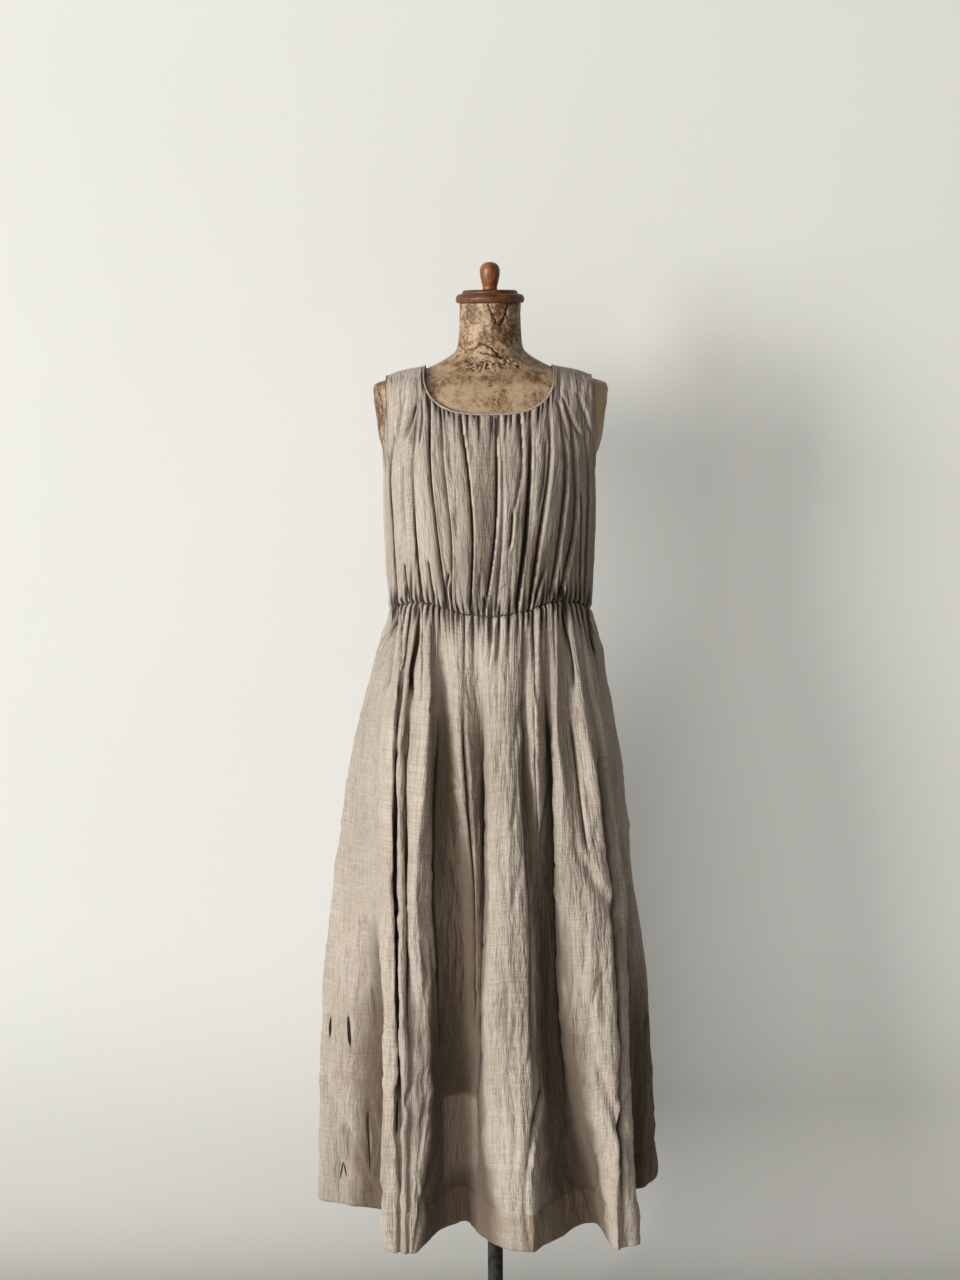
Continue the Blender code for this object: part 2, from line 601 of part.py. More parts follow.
def build_binding(collection):
    """A narrow ring that finishes the neckline, a little thicker than the cloth."""
    quarters = []
    rising = np.linspace(0, 1, BINDING_POINTS + 1)
    for side, sign in ((-1, 1), (1, 1), (1, -1), (-1, -1)):
        edge = neck_curve(rising, side, BINDING_WIDTH)
        seam = neck_curve(rising, side, 0)
        across = (edge - seam) / np.linalg.norm(edge - seam, axis=-1, keepdims=True)
        foot = seam + across * BINDING_GAP
        proud = WALL / 6
        sunk = proud - BINDING_WALL
        corners = [
            point + body_normal(DRESS_RINGS, point) * offset
            for point, offset in ((foot, proud), (edge, proud), (edge, sunk), (foot, sunk))
        ]
        quarter = np.stack(corners, axis=0) * np.array([sign, 1, 1])
        upward = side * sign < 0
        quarters.append(quarter[:, :-1] if upward else quarter[:, :0:-1])
    ring = np.concatenate(quarters, axis=1)
    ring[..., 0] += DRESS_X
    count = ring.shape[1]
    index = np.arange(4 * count).reshape(4, count)
    here, following = index, np.roll(index, -1, axis=1)
    above = np.roll(index, -1, axis=0)
    faces = np.stack([here, following, np.roll(following, -1, axis=0), above], axis=-1).reshape(-1, 4)
    mesh = bpy.data.meshes.new("neck_binding")
    mesh.from_pydata(ring.reshape(-1, 3).tolist(), [], faces.tolist())
    add_object("neck_binding", mesh, "linen", collection)


def build_pockets(collection):
    """Flat bags of cloth that hang inside the skirt from its side seams."""
    skirt, inward, wall, seam = skirt_surface()
    inner_skirt = skirt + inward * wall
    for name, column, sign, reach in (
        ("pocket_left", 0, -1, POCKET_LEFT_X),
        ("pocket_right", seam, 1, POCKET_RIGHT_X),
    ):
        down = np.linspace(0, 1, 9)[:, None]
        across = np.linspace(0, 1, 11)[None, :]
        # The bag's edge leaves the seam below the opening, so its rows reach lower at the front.
        seam_z = POCKET_TOP_Z + (POCKET_SEAM_LOW_Z - POCKET_TOP_Z) * down
        front_z = POCKET_TOP_Z + (POCKET_LOW_Z - POCKET_TOP_Z) * down
        z = seam_z + (front_z - seam_z) * np.sin(np.pi / 2 * np.clip(across / 0.55, 0, 1))
        half, depth = table_at(POCKET_RINGS, z)
        start = half * 0.995
        x = start + (abs(reach) - start) * across * (1 - 0.12 * down**3 * across**2)
        y = -depth * np.sqrt(np.maximum(1 - (x / half) ** 2, 0))
        hanging = np.stack([sign * x, y, z], axis=-1)
        order = np.argsort(inner_skirt[:, column, 2])
        side_z, side = inner_skirt[order, column, 2], inner_skirt[order, column]
        seam_x = np.interp(z, side_z, side[:, 0]) - sign * SEAM_GAP
        seam_y = np.interp(z, side_z, side[:, 1]) - POCKET_WALL
        join = np.clip(1 - across / 0.12, 0, 1) * np.ones_like(z)
        hanging[..., 0] += (seam_x - hanging[..., 0]) * join
        hanging[..., 1] += (seam_y - hanging[..., 1]) * join
        grid = hanging if sign < 0 else hanging[:, ::-1]
        rows, columns = grid.shape[:2]
        index = np.arange(rows * columns).reshape(rows, columns)
        faces = np.stack([index[1:, :-1], index[1:, 1:], index[:-1, 1:], index[:-1, :-1]], axis=-1)
        mesh = bpy.data.meshes.new(name)
        mesh.from_pydata(grid.reshape(-1, 3).tolist(), [], faces.reshape(-1, 4).tolist())
        bag = add_object(name, mesh, "linen", collection)
        thickness = bag.modifiers.new("thickness", "SOLIDIFY")
        thickness.thickness = POCKET_WALL
        thickness.offset = -1


# The dress form and its stand

def build_torso(collection):
    angle = np.linspace(0, 2 * np.pi, FORM_COLUMNS, endpoint=False)
    rings = []
    for height, half, front, back, power in FORM_RINGS:
        sine, cosine = np.sin(angle), -np.cos(angle)
        depth = np.where(cosine < 0, front, back)
        x = half * np.sign(sine) * np.abs(sine) ** (2 / power)
        y = depth * np.sign(cosine) * np.abs(cosine) ** (2 / power)
        rings.append(np.stack([x, y, np.full_like(x, height)], axis=-1))
    points = np.concatenate(rings)
    index = np.arange(len(points)).reshape(len(FORM_RINGS), FORM_COLUMNS)
    after = np.roll(index, -1, axis=1)
    sides = np.stack([index[:-1], after[:-1], after[1:], index[1:]], axis=-1).reshape(-1, 4)
    faces = [*sides.tolist(), index[0][::-1].tolist(), index[-1].tolist()]
    mesh = bpy.data.meshes.new("form_torso")
    mesh.from_pydata(points.tolist(), [], faces)
    add_object("form_torso", mesh, "paper", collection)


def turned(name, profile, steps, material_name, collection):
    """A turned solid from its profile (radius, height), which runs from the top down."""
    mesh = bpy.data.meshes.new(name)
    points = [(radius, 0, height) for radius, height in profile]
    mesh.from_pydata(points, [(i, i + 1) for i in range(len(points) - 1)], [])
    made = add_object(name, mesh, material_name, collection)
    screw = made.modifiers.new("turn", "SCREW")
    screw.steps = screw.render_steps = steps
    screw.use_merge_vertices = True
    screw.merge_threshold = 0.00005
    screw.use_smooth_shade = True
    return made


def arc(centre_radius, centre_height, radius, start, end, steps):
    """Profile points on an arc, with angles in degrees from straight out."""
    turn = np.radians(np.linspace(start, end, steps + 1))
    return [(centre_radius + radius * math.cos(a), centre_height + radius * math.sin(a)) for a in turn]


def build_cap(collection):
    rim = 0.0062
    step_radius = 0.0415
    step_height = 0.0055
    step_edge = 0.0020
    rim_top = CAP_HEIGHT - step_height
    profile = [(0, CAP_HEIGHT)]
    profile += arc(step_radius - step_edge, CAP_HEIGHT - step_edge, step_edge, 90, 0, 3)
    profile += [(step_radius, rim_top)]
    profile += arc(CAP_RADIUS - rim, rim_top - rim, rim, 90, -60, 6)
    profile += [(CAP_RADIUS - rim, 0), (0, 0)]
    cap = turned("form_cap", profile, 32, "cap wood", collection)
    cap.location.z = CAP_Z


def build_knob(collection):
    # A pear that narrows down to the cap.
    profile = [(0, KNOB_HEIGHT), (0.0045, 0.0402), (0.0090, 0.0385), (0.0126, 0.0351), (0.0146, 0.0303)]
    profile += [(0.0150, 0.0243), (0.0140, 0.0173), (0.0124, 0.0103), (0.0109, 0.0043), (0.0102, 0), (0, 0)]
    knob = turned("form_knob", profile, 24, "knob wood", collection)
    knob.location.z = CAP_Z + CAP_HEIGHT + CONTACT_GAP


def build_pole(collection):
    low = BASE_HEIGHT + CONTACT_GAP
    high = FORM_RINGS[0][0] - CONTACT_GAP
    shape = bmesh.new()
    bmesh.ops.create_cone(
        shape, cap_ends=True, segments=POLE_SIDES, radius1=POLE_RADIUS, radius2=POLE_RADIUS, depth=high - low
    )
    mesh = bpy.data.meshes.new("stand_pole")
    shape.to_mesh(mesh)
    shape.free()
    pole = add_object("stand_pole", mesh, "iron", collection)
    pole.location.z = (low + high) / 2


def build_base(collection):
    hub = 0.024
    profile = [(0, BASE_HEIGHT), (hub, BASE_HEIGHT), (hub + 0.004, BASE_HEIGHT - 0.004)]
    profile += [(0.075, 0.0155), (BASE_RADIUS - 0.010, BASE_EDGE), (BASE_RADIUS - 0.002, BASE_EDGE - 0.002)]
    profile += [(BASE_RADIUS, BASE_EDGE - 0.005), (BASE_RADIUS, 0), (0, 0)]
    turned("stand_base", profile, 48, "iron", collection)


def main():
    clear_scene()
    collection = bpy.data.collections.new("dress_on_form")
    bpy.context.scene.collection.children.link(collection)
    build_torso(collection)
    build_cap(collection)
    build_knob(collection)
    build_pole(collection)
    build_base(collection)
    build_bodice(collection)
    build_skirt(collection)
    build_binding(collection)
    build_pockets(collection)


main()
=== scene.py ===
import math

import bpy
import numpy as np
from mathutils import Matrix, Vector


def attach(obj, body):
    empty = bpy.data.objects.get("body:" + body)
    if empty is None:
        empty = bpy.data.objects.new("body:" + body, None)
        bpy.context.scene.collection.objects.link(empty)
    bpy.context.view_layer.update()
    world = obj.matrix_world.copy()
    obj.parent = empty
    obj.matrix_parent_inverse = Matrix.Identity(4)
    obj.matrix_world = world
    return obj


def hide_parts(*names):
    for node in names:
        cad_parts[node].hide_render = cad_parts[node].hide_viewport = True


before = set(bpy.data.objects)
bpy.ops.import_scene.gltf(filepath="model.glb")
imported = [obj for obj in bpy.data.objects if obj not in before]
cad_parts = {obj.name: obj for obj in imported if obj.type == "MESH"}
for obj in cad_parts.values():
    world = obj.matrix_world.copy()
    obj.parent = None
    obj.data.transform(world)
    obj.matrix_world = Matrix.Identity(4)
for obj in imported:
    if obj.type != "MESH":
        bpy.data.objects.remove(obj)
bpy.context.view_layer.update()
mm = 0.001


# Numbers between rows of a table

def easeIn(share):
    share = np.clip(share, 0, 1)
    return share * share * (3 - 2 * share)


def bell(distance, width):
    return np.exp(-((distance / width) ** 2))


def within(value, low, lowSoft, high, highSoft):
    # 1 between low and high, easing in after low and out before high.
    return easeIn((value - low) / lowSoft) * easeIn((high - value) / highSoft)


def smoothBetween(heights, values, at):
    # A cubic through values given at rising heights, with each slope set by its neighbours.
    heights = np.asarray(heights, float)
    values = np.asarray(values, float)
    slopes = np.gradient(values, heights, axis=0)
    at = np.clip(at, heights[0], heights[-1])
    i = np.clip(np.searchsorted(heights, at, side="right") - 1, 0, len(heights) - 2)
    span = heights[i + 1] - heights[i]
    t = (at - heights[i]) / span
    extra = (1,) * (values.ndim - 1)
    t, span = t.reshape(t.shape + extra), span.reshape(span.shape + extra)
    return (
        (2 * t**3 - 3 * t**2 + 1) * values[i]
        + (t**3 - 2 * t**2 + t) * span * slopes[i]
        + (3 * t**2 - 2 * t**3) * values[i + 1]
        + (t**3 - t**2) * span * slopes[i + 1]
    )


def ringAt(rings, z):
    rows = np.array(rings, float)
    return [smoothBetween(rows[:, 0], rows[:, c], z) for c in range(1, rows.shape[1])]


def together(*parts):
    # Coordinates that each vary along rows or columns, as one grid of points.
    return np.stack(np.broadcast_arrays(*parts), axis=-1)


def softNoise(across, along, seed):
    # Random heights on a lattice of whole numbers, eased from one to the next, from -1 to 1.
    lattice = np.random.default_rng(seed).uniform(-1, 1, (64, 64))
    column, row = np.floor(across).astype(int), np.floor(along).astype(int)
    s, t = easeIn(across - column), easeIn(along - row)
    left, right = column % 64, (column + 1) % 64
    top, bottom = row % 64, (row + 1) % 64
    upper = lattice[top, left] * (1 - s) + lattice[top, right] * s
    lower = lattice[bottom, left] * (1 - s) + lattice[bottom, right] * s
    return upper * (1 - t) + lower * t


def crumple(across, along, size, seed):
    # Folded noise: flat patches that meet in thin raised lines, as creased linen has.
    total = 0
    for octave, strength in enumerate((0.6, 0.3, 0.15)):
        scale = 2**octave / size
        noise = softNoise(across * scale + 7 * octave, along * scale + 3 * octave, seed + octave)
        total = total + strength * (1 - 2 * np.abs(noise) ** 0.7)
    return total


# Creases

def stronger(marks, found, sign=1):
    # The marks, or what was found where that is stronger: painted slit shade above 0, or a painted edge
    # highlight with sign -1.
    return np.where(np.abs(marks) < np.abs(found), sign * found, marks)


def creaseRelief(x, z, creases, strength, marks):
    # Each crease is a line of (x, z) points. Across it runs a trough of the given depth and width, and
    # beside the trough the cloth stands up by the lift and falls away over the reach: to the right of
    # the line where the reach is positive, to its left where it is negative. It fades at both ends.
    # marks gathers the shade painted deep in a slit (above 0) and the highlight painted on a raised edge
    # (below 0).
    relief = np.zeros_like(x)
    for depth, width, lift, reach, points in creases.values():
        line = np.array(points, float) * mm
        steep = abs(line[-1, 1] - line[0, 1]) > abs(line[-1, 0] - line[0, 0])
        here, there = (z, x) if steep else (x, z)
        order = np.argsort(line[:, 1 if steep else 0])
        key = line[order, 1 if steep else 0]
        value = line[order, 0 if steep else 1]
        inside = (here > key[0]) & (here < key[-1])
        at = here[inside]
        slope = np.gradient(smoothBetween(key, value, np.linspace(key[0], key[-1], 40)))
        slope = np.interp(at, np.linspace(key[0], key[-1], 40), slope) * 39 / (key[-1] - key[0])
        aside = (there[inside] - smoothBetween(key, value, at)) / np.sqrt(1 + slope**2)
        share = (at - key[0]) / (key[-1] - key[0])
        fade = easeIn(share / 0.2) * easeIn((1 - share) / 0.2)
        trough = -depth * mm * bell(aside, width * mm)
        beside = aside * np.sign(reach) - 0.6 * width * mm
        falling = np.maximum(beside, 0)
        edge = lift * mm * easeIn(beside / (width * mm)) * np.exp(-falling / (abs(reach) * mm))
        relief[inside] += (trough + edge) * fade * strength
        upright = easeIn(1.4 - 2.5 * np.abs(slope)) if steep else 0.15
        narrow = min(2.8 / width, 1) ** 2
        # Painted shade in the trough, and a painted highlight on the raised edge beside it.
        dark = min(depth / 3, 1) * narrow * upright * bell(aside, 0.8 * width * mm)
        pale = min(lift / 2, 1) * upright * easeIn(beside / (0.5 * width * mm)) * np.exp(-falling / 0.0025)
        marks[inside] = stronger(stronger(marks[inside], dark * fade), pale * fade, -1)
    return relief


def tubes(place, slits, heights, reaches, distance, marks, darkReach=0.5):
    # Round puffs between the slits of a gathered edge. Each has its own height, and its own reach from
    # the edge, over which it flattens out. marks gathers the shade painted deep in each slit.
    order = np.clip(np.searchsorted(slits, place) - 1, 0, len(slits) - 2)
    t = np.clip((place - slits[order]) / (slits[order + 1] - slits[order]), 0, 1)
    puff = (4 * t * (1 - t)) ** 0.6 - 0.7
    nearest = np.where(t < 0.5, order, order + 1)
    aside = np.minimum(t, 1 - t) * (slits[order + 1] - slits[order])
    width = 0.0015 + 0.0015 * np.abs(np.sin(5.1 * nearest))
    reach = darkReach * reaches[order] * (0.5 + np.abs(np.sin(2.3 * nearest)))
    marks[:] = np.maximum(marks, np.exp(-((aside / width) ** 2) - (distance / reach) ** 2))
    return heights[order] * puff * bell(distance, reaches[order])


# Meshes

def putInScene(name, data):
    made = bpy.data.objects.new(name, data)
    bpy.context.scene.collection.objects.link(made)
    return made


def gridMesh(name, points, flat, finish, marks=None, closed=False):
    # A surface through points[row, column], rows from the top down and columns to the right as seen
    # from outside. flat is each point's place on the flat cloth, in metres, and marks are named values.
    rows, columns = points.shape[:2]
    index = np.arange(rows * columns).reshape(rows, columns)
    if closed:
        index = np.concatenate([index, index[:, :1]], axis=1)
    corner = np.arange(index.size).reshape(index.shape)

    def quads(grid):
        return np.stack([grid[1:, :-1], grid[1:, 1:], grid[:-1, 1:], grid[:-1, :-1]], axis=-1).reshape(-1, 4)

    faces, spots = quads(index).tolist(), quads(corner).ravel()
    if closed:
        faces += [index[0, :-1].tolist(), index[-1, -2::-1].tolist()]
        spots = np.concatenate([spots, corner[0, :-1], corner[-1, -2::-1]])
    mesh = bpy.data.meshes.new(name)
    mesh.from_pydata(points.reshape(-1, 3).tolist(), [], faces)
    layer = mesh.uv_layers.new(name="cloth")
    layer.data.foreach_set("uv", flat.reshape(-1, 2)[spots].astype(np.float32).ravel())
    for mark, values in (marks or {}).items():
        attribute = mesh.attributes.new(mark, "FLOAT", "POINT")
        attribute.data.foreach_set("value", np.asarray(values, np.float32).ravel())
    mesh.shade_smooth()
    mesh.materials.append(finish)
    return putInScene(name, mesh)


def thicken(piece, wall):
    solid = piece.modifiers.new("cloth thickness", "SOLIDIFY")
    solid.thickness = wall
    solid.offset = -1
    return piece


def flatPlaces(points, acrossRow):
    # Place on the flat cloth: across by the length of one row, down by each column's own length.
    across = np.linalg.norm(np.diff(points[acrossRow], axis=0), axis=-1)
    across = np.concatenate([[0], np.cumsum(across)])
    down = np.linalg.norm(np.diff(points, axis=0), axis=-1)
    down = np.concatenate([np.zeros((1, points.shape[1])), np.cumsum(down, axis=0)])
    return np.stack([np.broadcast_to(across, down.shape), -down], axis=-1)


def clothArea(piece):
    mesh = piece.data
    areas = np.zeros(len(mesh.polygons))
    mesh.polygons.foreach_get("area", areas)
    return float(areas.sum())


# Finishes

def arithmetic(operation, reflected=False):
    # A sign of arithmetic between signals and numbers, or its reflected form.
    def applied(self, other):
        return self.maths(operation, *((other, self) if reflected else (self, other)))

    return applied


class Signal:
    # One value of a finish, with arithmetic.
    def __init__(self, finish, socket):
        self.finish = finish
        self.socket = socket

    def maths(self, operation, *terms):
        node = self.finish.nodes.new("ShaderNodeMath")
        node.operation = operation
        for socket, term in zip(node.inputs, terms):
            self.finish.put(socket, term)
        return Signal(self.finish, node.outputs[0])

    __add__, __radd__ = arithmetic("ADD"), arithmetic("ADD", True)
    __sub__, __rsub__ = arithmetic("SUBTRACT"), arithmetic("SUBTRACT", True)
    __mul__, __rmul__ = arithmetic("MULTIPLY"), arithmetic("MULTIPLY", True)
    __truediv__, __rtruediv__ = arithmetic("DIVIDE"), arithmetic("DIVIDE", True)
    __pow__, __rpow__ = arithmetic("POWER"), arithmetic("POWER", True)

    def size(self):
        return self.maths("ABSOLUTE", self)

    def spread(self, low, high):
        return self.finish.node(
            "ShaderNodeMapRange",
            {"interpolation_type": "SMOOTHSTEP"},
            {"Value": self, "From Min": low, "From Max": high},
        )


class Finish:
    # A material with a Principled shader, built up from named nodes.
    def __init__(self, name):
        self.material = bpy.data.materials.new(name)
        self.material.use_nodes = True
        self.nodes = self.material.node_tree.nodes
        self.shader = self.nodes["Principled BSDF"]

    def put(self, socket, value):
        if isinstance(value, Signal):
            self.material.node_tree.links.new(value.socket, socket)
        else:
            socket.default_value = value

    def node(self, kind, settings=None, values=None, output=0):
        made = self.nodes.new(kind)
        for name, value in (settings or {}).items():
            if name == "stops":
                ramp = made.color_ramp
                while len(ramp.elements) < len(value):
                    ramp.elements.new(0.5)
                for element, (place, colour) in zip(ramp.elements, value):
                    element.position = place
                    element.color = (*colour, 1)
            else:
                setattr(made, name, value)
        for name, value in (values or {}).items():
            self.put(made.inputs[name], value)
        return Signal(self, made.outputs[output])

    def surface(self, **values):
        for name, value in values.items():
            self.put(self.shader.inputs[name.replace("_", " ")], value)
        return self.material

    def stretched(self, where, scale):
        return self.node("ShaderNodeVectorMath", {"operation": "MULTIPLY"}, {0: where, 1: scale})

    def turned(self, where, angle, scale):
        values = {"Vector": where, "Rotation": (0, 0, angle), "Scale": scale}
        return self.node("ShaderNodeMapping", None, values)

    def noise(self, where, scale, detail=2.0, roughness=0.5):
        return self.node(
            "ShaderNodeTexNoise", None,
            {"Vector": where, "Scale": scale, "Detail": detail, "Roughness": roughness},
        )

    def mixed(self, share, first, second):
        return self.node("ShaderNodeMix", {"data_type": "RGBA"}, {0: share, 6: first, 7: second}, 2)

    def streaks(self, where, scale, detail, roughness=0.5):
        # Noise drawn out along the axes with the smaller scales.
        return self.noise(self.stretched(where, scale), 1.0, detail, roughness)

    def ownPlace(self):
        return self.node("ShaderNodeTexCoord", None, None, "Object")

    def part(self, vector, axis):
        return self.node("ShaderNodeSeparateXYZ", None, {"Vector": vector}, axis)

    def mark(self, name):
        return self.node("ShaderNodeAttribute", {"attribute_name": name}, None, "Fac")

    def bump(self, height, distance, strength=1.0, normal=None):
        values = {"Height": height, "Distance": distance, "Strength": strength}
        if normal:
            values["Normal"] = normal
        return self.node("ShaderNodeBump", None, values)


linenLook = {
    "pale": (0.555, 0.490, 0.425, 1),
    "deep": (0.335, 0.280, 0.228, 1),
    # Painted shade deep in the folds.
    "shade": (0.095, 0.064, 0.040, 1),
    # Painted shade of double cloth, as in the hem.
    "hem": (0.235, 0.180, 0.125, 1),
    # Painted light where single cloth lets light through.
    "paintedBacklight": (0.560, 0.480, 0.385, 1),
    # Painted shade in slits.
    "slit": (0.028, 0.018, 0.011, 1),
    # Painted highlight on fold edges.
    "edge": (0.800, 0.730, 0.640, 1),
    # Open slits in the left panel, painted dark as shade: middle x and z, lean, half width and half height,
    # in metres.
    "slits": (
        (-0.2245, 0.578, -0.05, 0.0034, 0.028), (-0.2550, 0.578, 0.06, 0.0024, 0.019),
        (-0.2400, 0.350, 0.18, 0.0014, 0.016), (-0.2345, 0.352, -0.20, 0.0013, 0.013),
        (-0.1960, 0.400, -0.03, 0.0016, 0.055), (-0.1470, 0.490, 0.02, 0.0020, 0.030),
    ),
    "crinkle": 0.0105,
}


def linenFinish(name, look):
    # Undyed linen: thick and thin threads both ways, faint cloudy tone, and fine crinkles.
    finish = Finish(name)
    cloth = finish.node("ShaderNodeUVMap", {"uv_map": "cloth"}, None, "UV")
    down = finish.streaks(cloth, (520, 11, 1), 2.0)
    across = finish.streaks(cloth, (10, 460, 1), 2.0)
    fineDown = finish.streaks(cloth, (900, 60, 1), 1.0)
    fineAcross = finish.streaks(cloth, (60, 900, 1), 1.0)
    cloud = finish.streaks(cloth, (7, 4.5, 1), 3.0)
    tone = 0.5 + 1.2 * (down - 0.5) + 1.0 * (across - 0.5) + 1.0 * (cloud - 0.5)
    tone = tone + 0.9 * (fineDown - 0.5) + 0.9 * (fineAcross - 0.5)
    colour = finish.mixed(tone.spread(-0.1, 1.1), look["deep"], look["pale"])
    # Painted shade where the cloth lies behind the folds beside it.
    sunken = finish.mark("sunken")
    colour = finish.mixed(sunken.spread(0, 1) * 0.85, colour, look["shade"])
    # Painted shade where the cloth is double, and painted light where single cloth lets light through.
    layers = finish.mark("layers")
    colour = finish.mixed(layers.spread(0, 1) * 0.75, colour, look["hem"])
    colour = finish.mixed((0 - layers).spread(0, 1) * 0.5, colour, look["paintedBacklight"])
    # Painted shade deep in slits, and painted highlights on fold edges.
    crease = finish.mark("crease")
    colour = finish.mixed(crease.spread(0.08, 0.90) * 0.93, colour, look["slit"])
    colour = finish.mixed((0 - crease).spread(0.10, 0.9) * 0.8, colour, look["edge"])
    where = finish.ownPlace()
    x, y, z = (finish.part(where, axis) for axis in "XYZ")
    # Painted shade in the open slits of the left panel.
    slitted = 0
    for middleX, middleZ, lean, halfWidth, halfHeight in look["slits"]:
        up = z - middleZ
        inside = 1 - ((x - middleX - lean * up) / halfWidth) ** 2 - (up / halfHeight) ** 2
        slitted = inside.spread(0.0, 0.5) + slitted
    colour = finish.mixed(slitted * (0 - y).spread(0.0, 0.02), colour, look["slit"])
    wander = finish.node("ShaderNodeTexNoise", None, {"Vector": cloth, "Scale": 22.0, "Detail": 2.0}, "Color")
    wander = finish.stretched(wander, (0.010, 0.020, 0))
    bent = finish.node("ShaderNodeVectorMath", {"operation": "ADD"}, {0: cloth, 1: wander})
    hanging = finish.streaks(bent, (75, 9, 1), 4.0, 0.6)
    slanting = finish.noise(finish.turned(bent, 0.55, (46, 11, 1)), 1.0, 3.0, 0.55)
    leaning = finish.noise(finish.turned(bent, -0.45, (52, 12, 1)), 1.0, 3.0, 0.55)
    facets = finish.node(
        "ShaderNodeTexVoronoi", {"feature": "F1"},
        {"Vector": finish.stretched(bent, (24, 9, 9)), "Scale": 1.0}, "Distance",
    )
    folded = 0 - 1.2 * (hanging - 0.5).size() - 0.8 * (slanting - 0.5).size() - 0.8 * (leaning - 0.5).size()
    folded = folded + 0.45 * facets
    threads = finish.bump(down + across + 0.7 * (fineDown + fineAcross), 0.00030, 0.6)
    normal = finish.bump(folded, look["crinkle"], 0.7, threads)
    return finish.surface(
        Base_Color=colour, Roughness=0.82 + 0.1 * fineDown, Normal=normal,
        Sheen_Weight=0.18, Sheen_Roughness=0.5, Specular_IOR_Level=0.25,
    )


paperLook = {
    "pale": (0.47, 0.345, 0.225, 1),
    "tan": (0.270, 0.175, 0.095, 1),
    "brown": (0.120, 0.058, 0.026, 1),
    "crack": (0.060, 0.022, 0.010, 1),
    "pitting": 0.0011,
}


def paperFinish(name, look):
    # Varnished papier-mache: mottled tan and brown, darker where the varnish is thick, with dark cracks.
    finish = Finish(name)
    where = finish.ownPlace()
    patches = finish.noise(where, 38.0, 5.0, 0.65)
    mottle = finish.noise(where, 150.0, 4.0, 0.7)
    specks = finish.noise(where, 420.0, 2.0, 0.6)
    stain = finish.mark("stain")
    crack = finish.mark("crack")
    neckward = finish.part(where, "Z").spread(1.585, 1.612)
    tone = patches + (0.45 + 0.75 * neckward) * (mottle - 0.5) + 0.35 * (specks - 0.5) - 0.55 * stain
    colour = finish.mixed(tone.spread(0.34, 0.62), look["tan"], look["pale"])
    dark = (1 - tone).spread(0.52, 0.74)
    colour = finish.mixed(dark * 0.8, colour, look["brown"])
    colour = finish.mixed(specks.spread(0.63, 0.72) * 0.55, colour, look["brown"])
    ragged = (crack + 0.5 * (mottle - 0.5)).spread(0.38, 0.62)
    colour = finish.mixed(ragged, colour, look["crack"])
    height = patches + 0.4 * mottle + 0.15 * specks
    normal = finish.bump(height, look["pitting"] * 2, 0.55)
    return finish.surface(
        Base_Color=colour, Roughness=0.36 + 0.35 * mottle, Normal=normal, Specular_IOR_Level=0.5,
    )


def woodFinish(name, pale, dark, grainScale, roughness):
    # Turned wood with its grain along the axis, and darker in streaks.
    finish = Finish(name)
    where = finish.ownPlace()
    grain = finish.streaks(where, grainScale, 4.0, 0.6)
    wear = finish.noise(where, 90.0, 3.0, 0.6)
    tone = grain + 0.5 * (wear - 0.5)
    colour = finish.mixed(tone.spread(0.3, 0.7), dark, pale)
    normal = finish.bump(grain, 0.0003, 0.4)
    return finish.surface(
        Base_Color=colour, Roughness=roughness + 0.2 * wear, Normal=normal, Specular_IOR_Level=0.5,
    )


def ironFinish(name):
    # Dark iron with a dull grey-green bloom.
    finish = Finish(name)
    where = finish.ownPlace()
    bloom = finish.noise(where, 45.0, 5.0, 0.65)
    pits = finish.noise(where, 380.0, 3.0, 0.6)
    colour = finish.mixed(bloom.spread(0.3, 0.7), (0.020, 0.020, 0.016, 1), (0.075, 0.080, 0.066, 1))
    normal = finish.bump(bloom + 0.4 * pits, 0.0005, 0.5)
    return finish.surface(
        Base_Color=colour, Roughness=0.42 + 0.3 * pits, Metallic=0.75 - 0.5 * bloom, Normal=normal,
    )


# The camera, the light and the backdrop

cameraValues = {
    "lens": 54.0,
    "sensor": 36.0,
    "place": (-0.0183, -2.91, 1.66),
    "tilt": 80.54,
    "roll": -0.383,
}


def addCamera(values):
    camera = putInScene("camera", bpy.data.cameras.new("camera"))
    camera.data.lens = values["lens"]
    camera.data.sensor_width = values["sensor"]
    turn = Matrix.Rotation(math.radians(values["tilt"]), 3, "X")
    turn = turn @ Matrix.Rotation(math.radians(values["roll"]), 3, "Z")
    camera.rotation_euler = turn.to_euler()
    camera.location = values["place"]
    bpy.context.scene.camera = camera


lightValues = {
    "window place": (-6.8, -5.7, 2.20),
    "aim": (0.0, 0.0, 1.0),
    "window size": (3.2, 3.2),
    "window watts": 640.0,
    "window colour": (1.0, 0.995, 0.98),
    "bounce place": (-1.6, -5.2, 2.6),
    "bounce size": (3.0, 2.4),
    "bounce watts": 90.0,
    "bounce colour": (1.0, 0.975, 0.94),
    "room colour": (1.0, 0.88, 0.74, 1),
    "room strength": 0.05,
    "contrast": "Medium High Contrast",
}


def addLights(values):
    # A far window on the left, and the pale room that throws some of its light back from the front.
    for name in ("window", "bounce"):
        lamp = bpy.data.lights.new(name + " light", "AREA")
        lamp.shape = "RECTANGLE"
        lamp.size, lamp.size_y = values[name + " size"]
        lamp.energy = values[name + " watts"]
        lamp.color = values[name + " colour"]
        placed = putInScene(name + " light", lamp)
        placed.location = values[name + " place"]
        aim = Vector(values[name + " place"]) - Vector(values["aim"])
        placed.rotation_euler = aim.to_track_quat("Z", "Y").to_euler()
    world = bpy.data.worlds.new("room light")
    world.use_nodes = True
    background = world.node_tree.nodes["Background"]
    background.inputs["Color"].default_value = values["room colour"]
    background.inputs["Strength"].default_value = values["room strength"]
    bpy.context.scene.world = world
    bpy.context.scene.view_settings.view_transform = "Standard"
    bpy.context.scene.view_settings.look = values["contrast"]


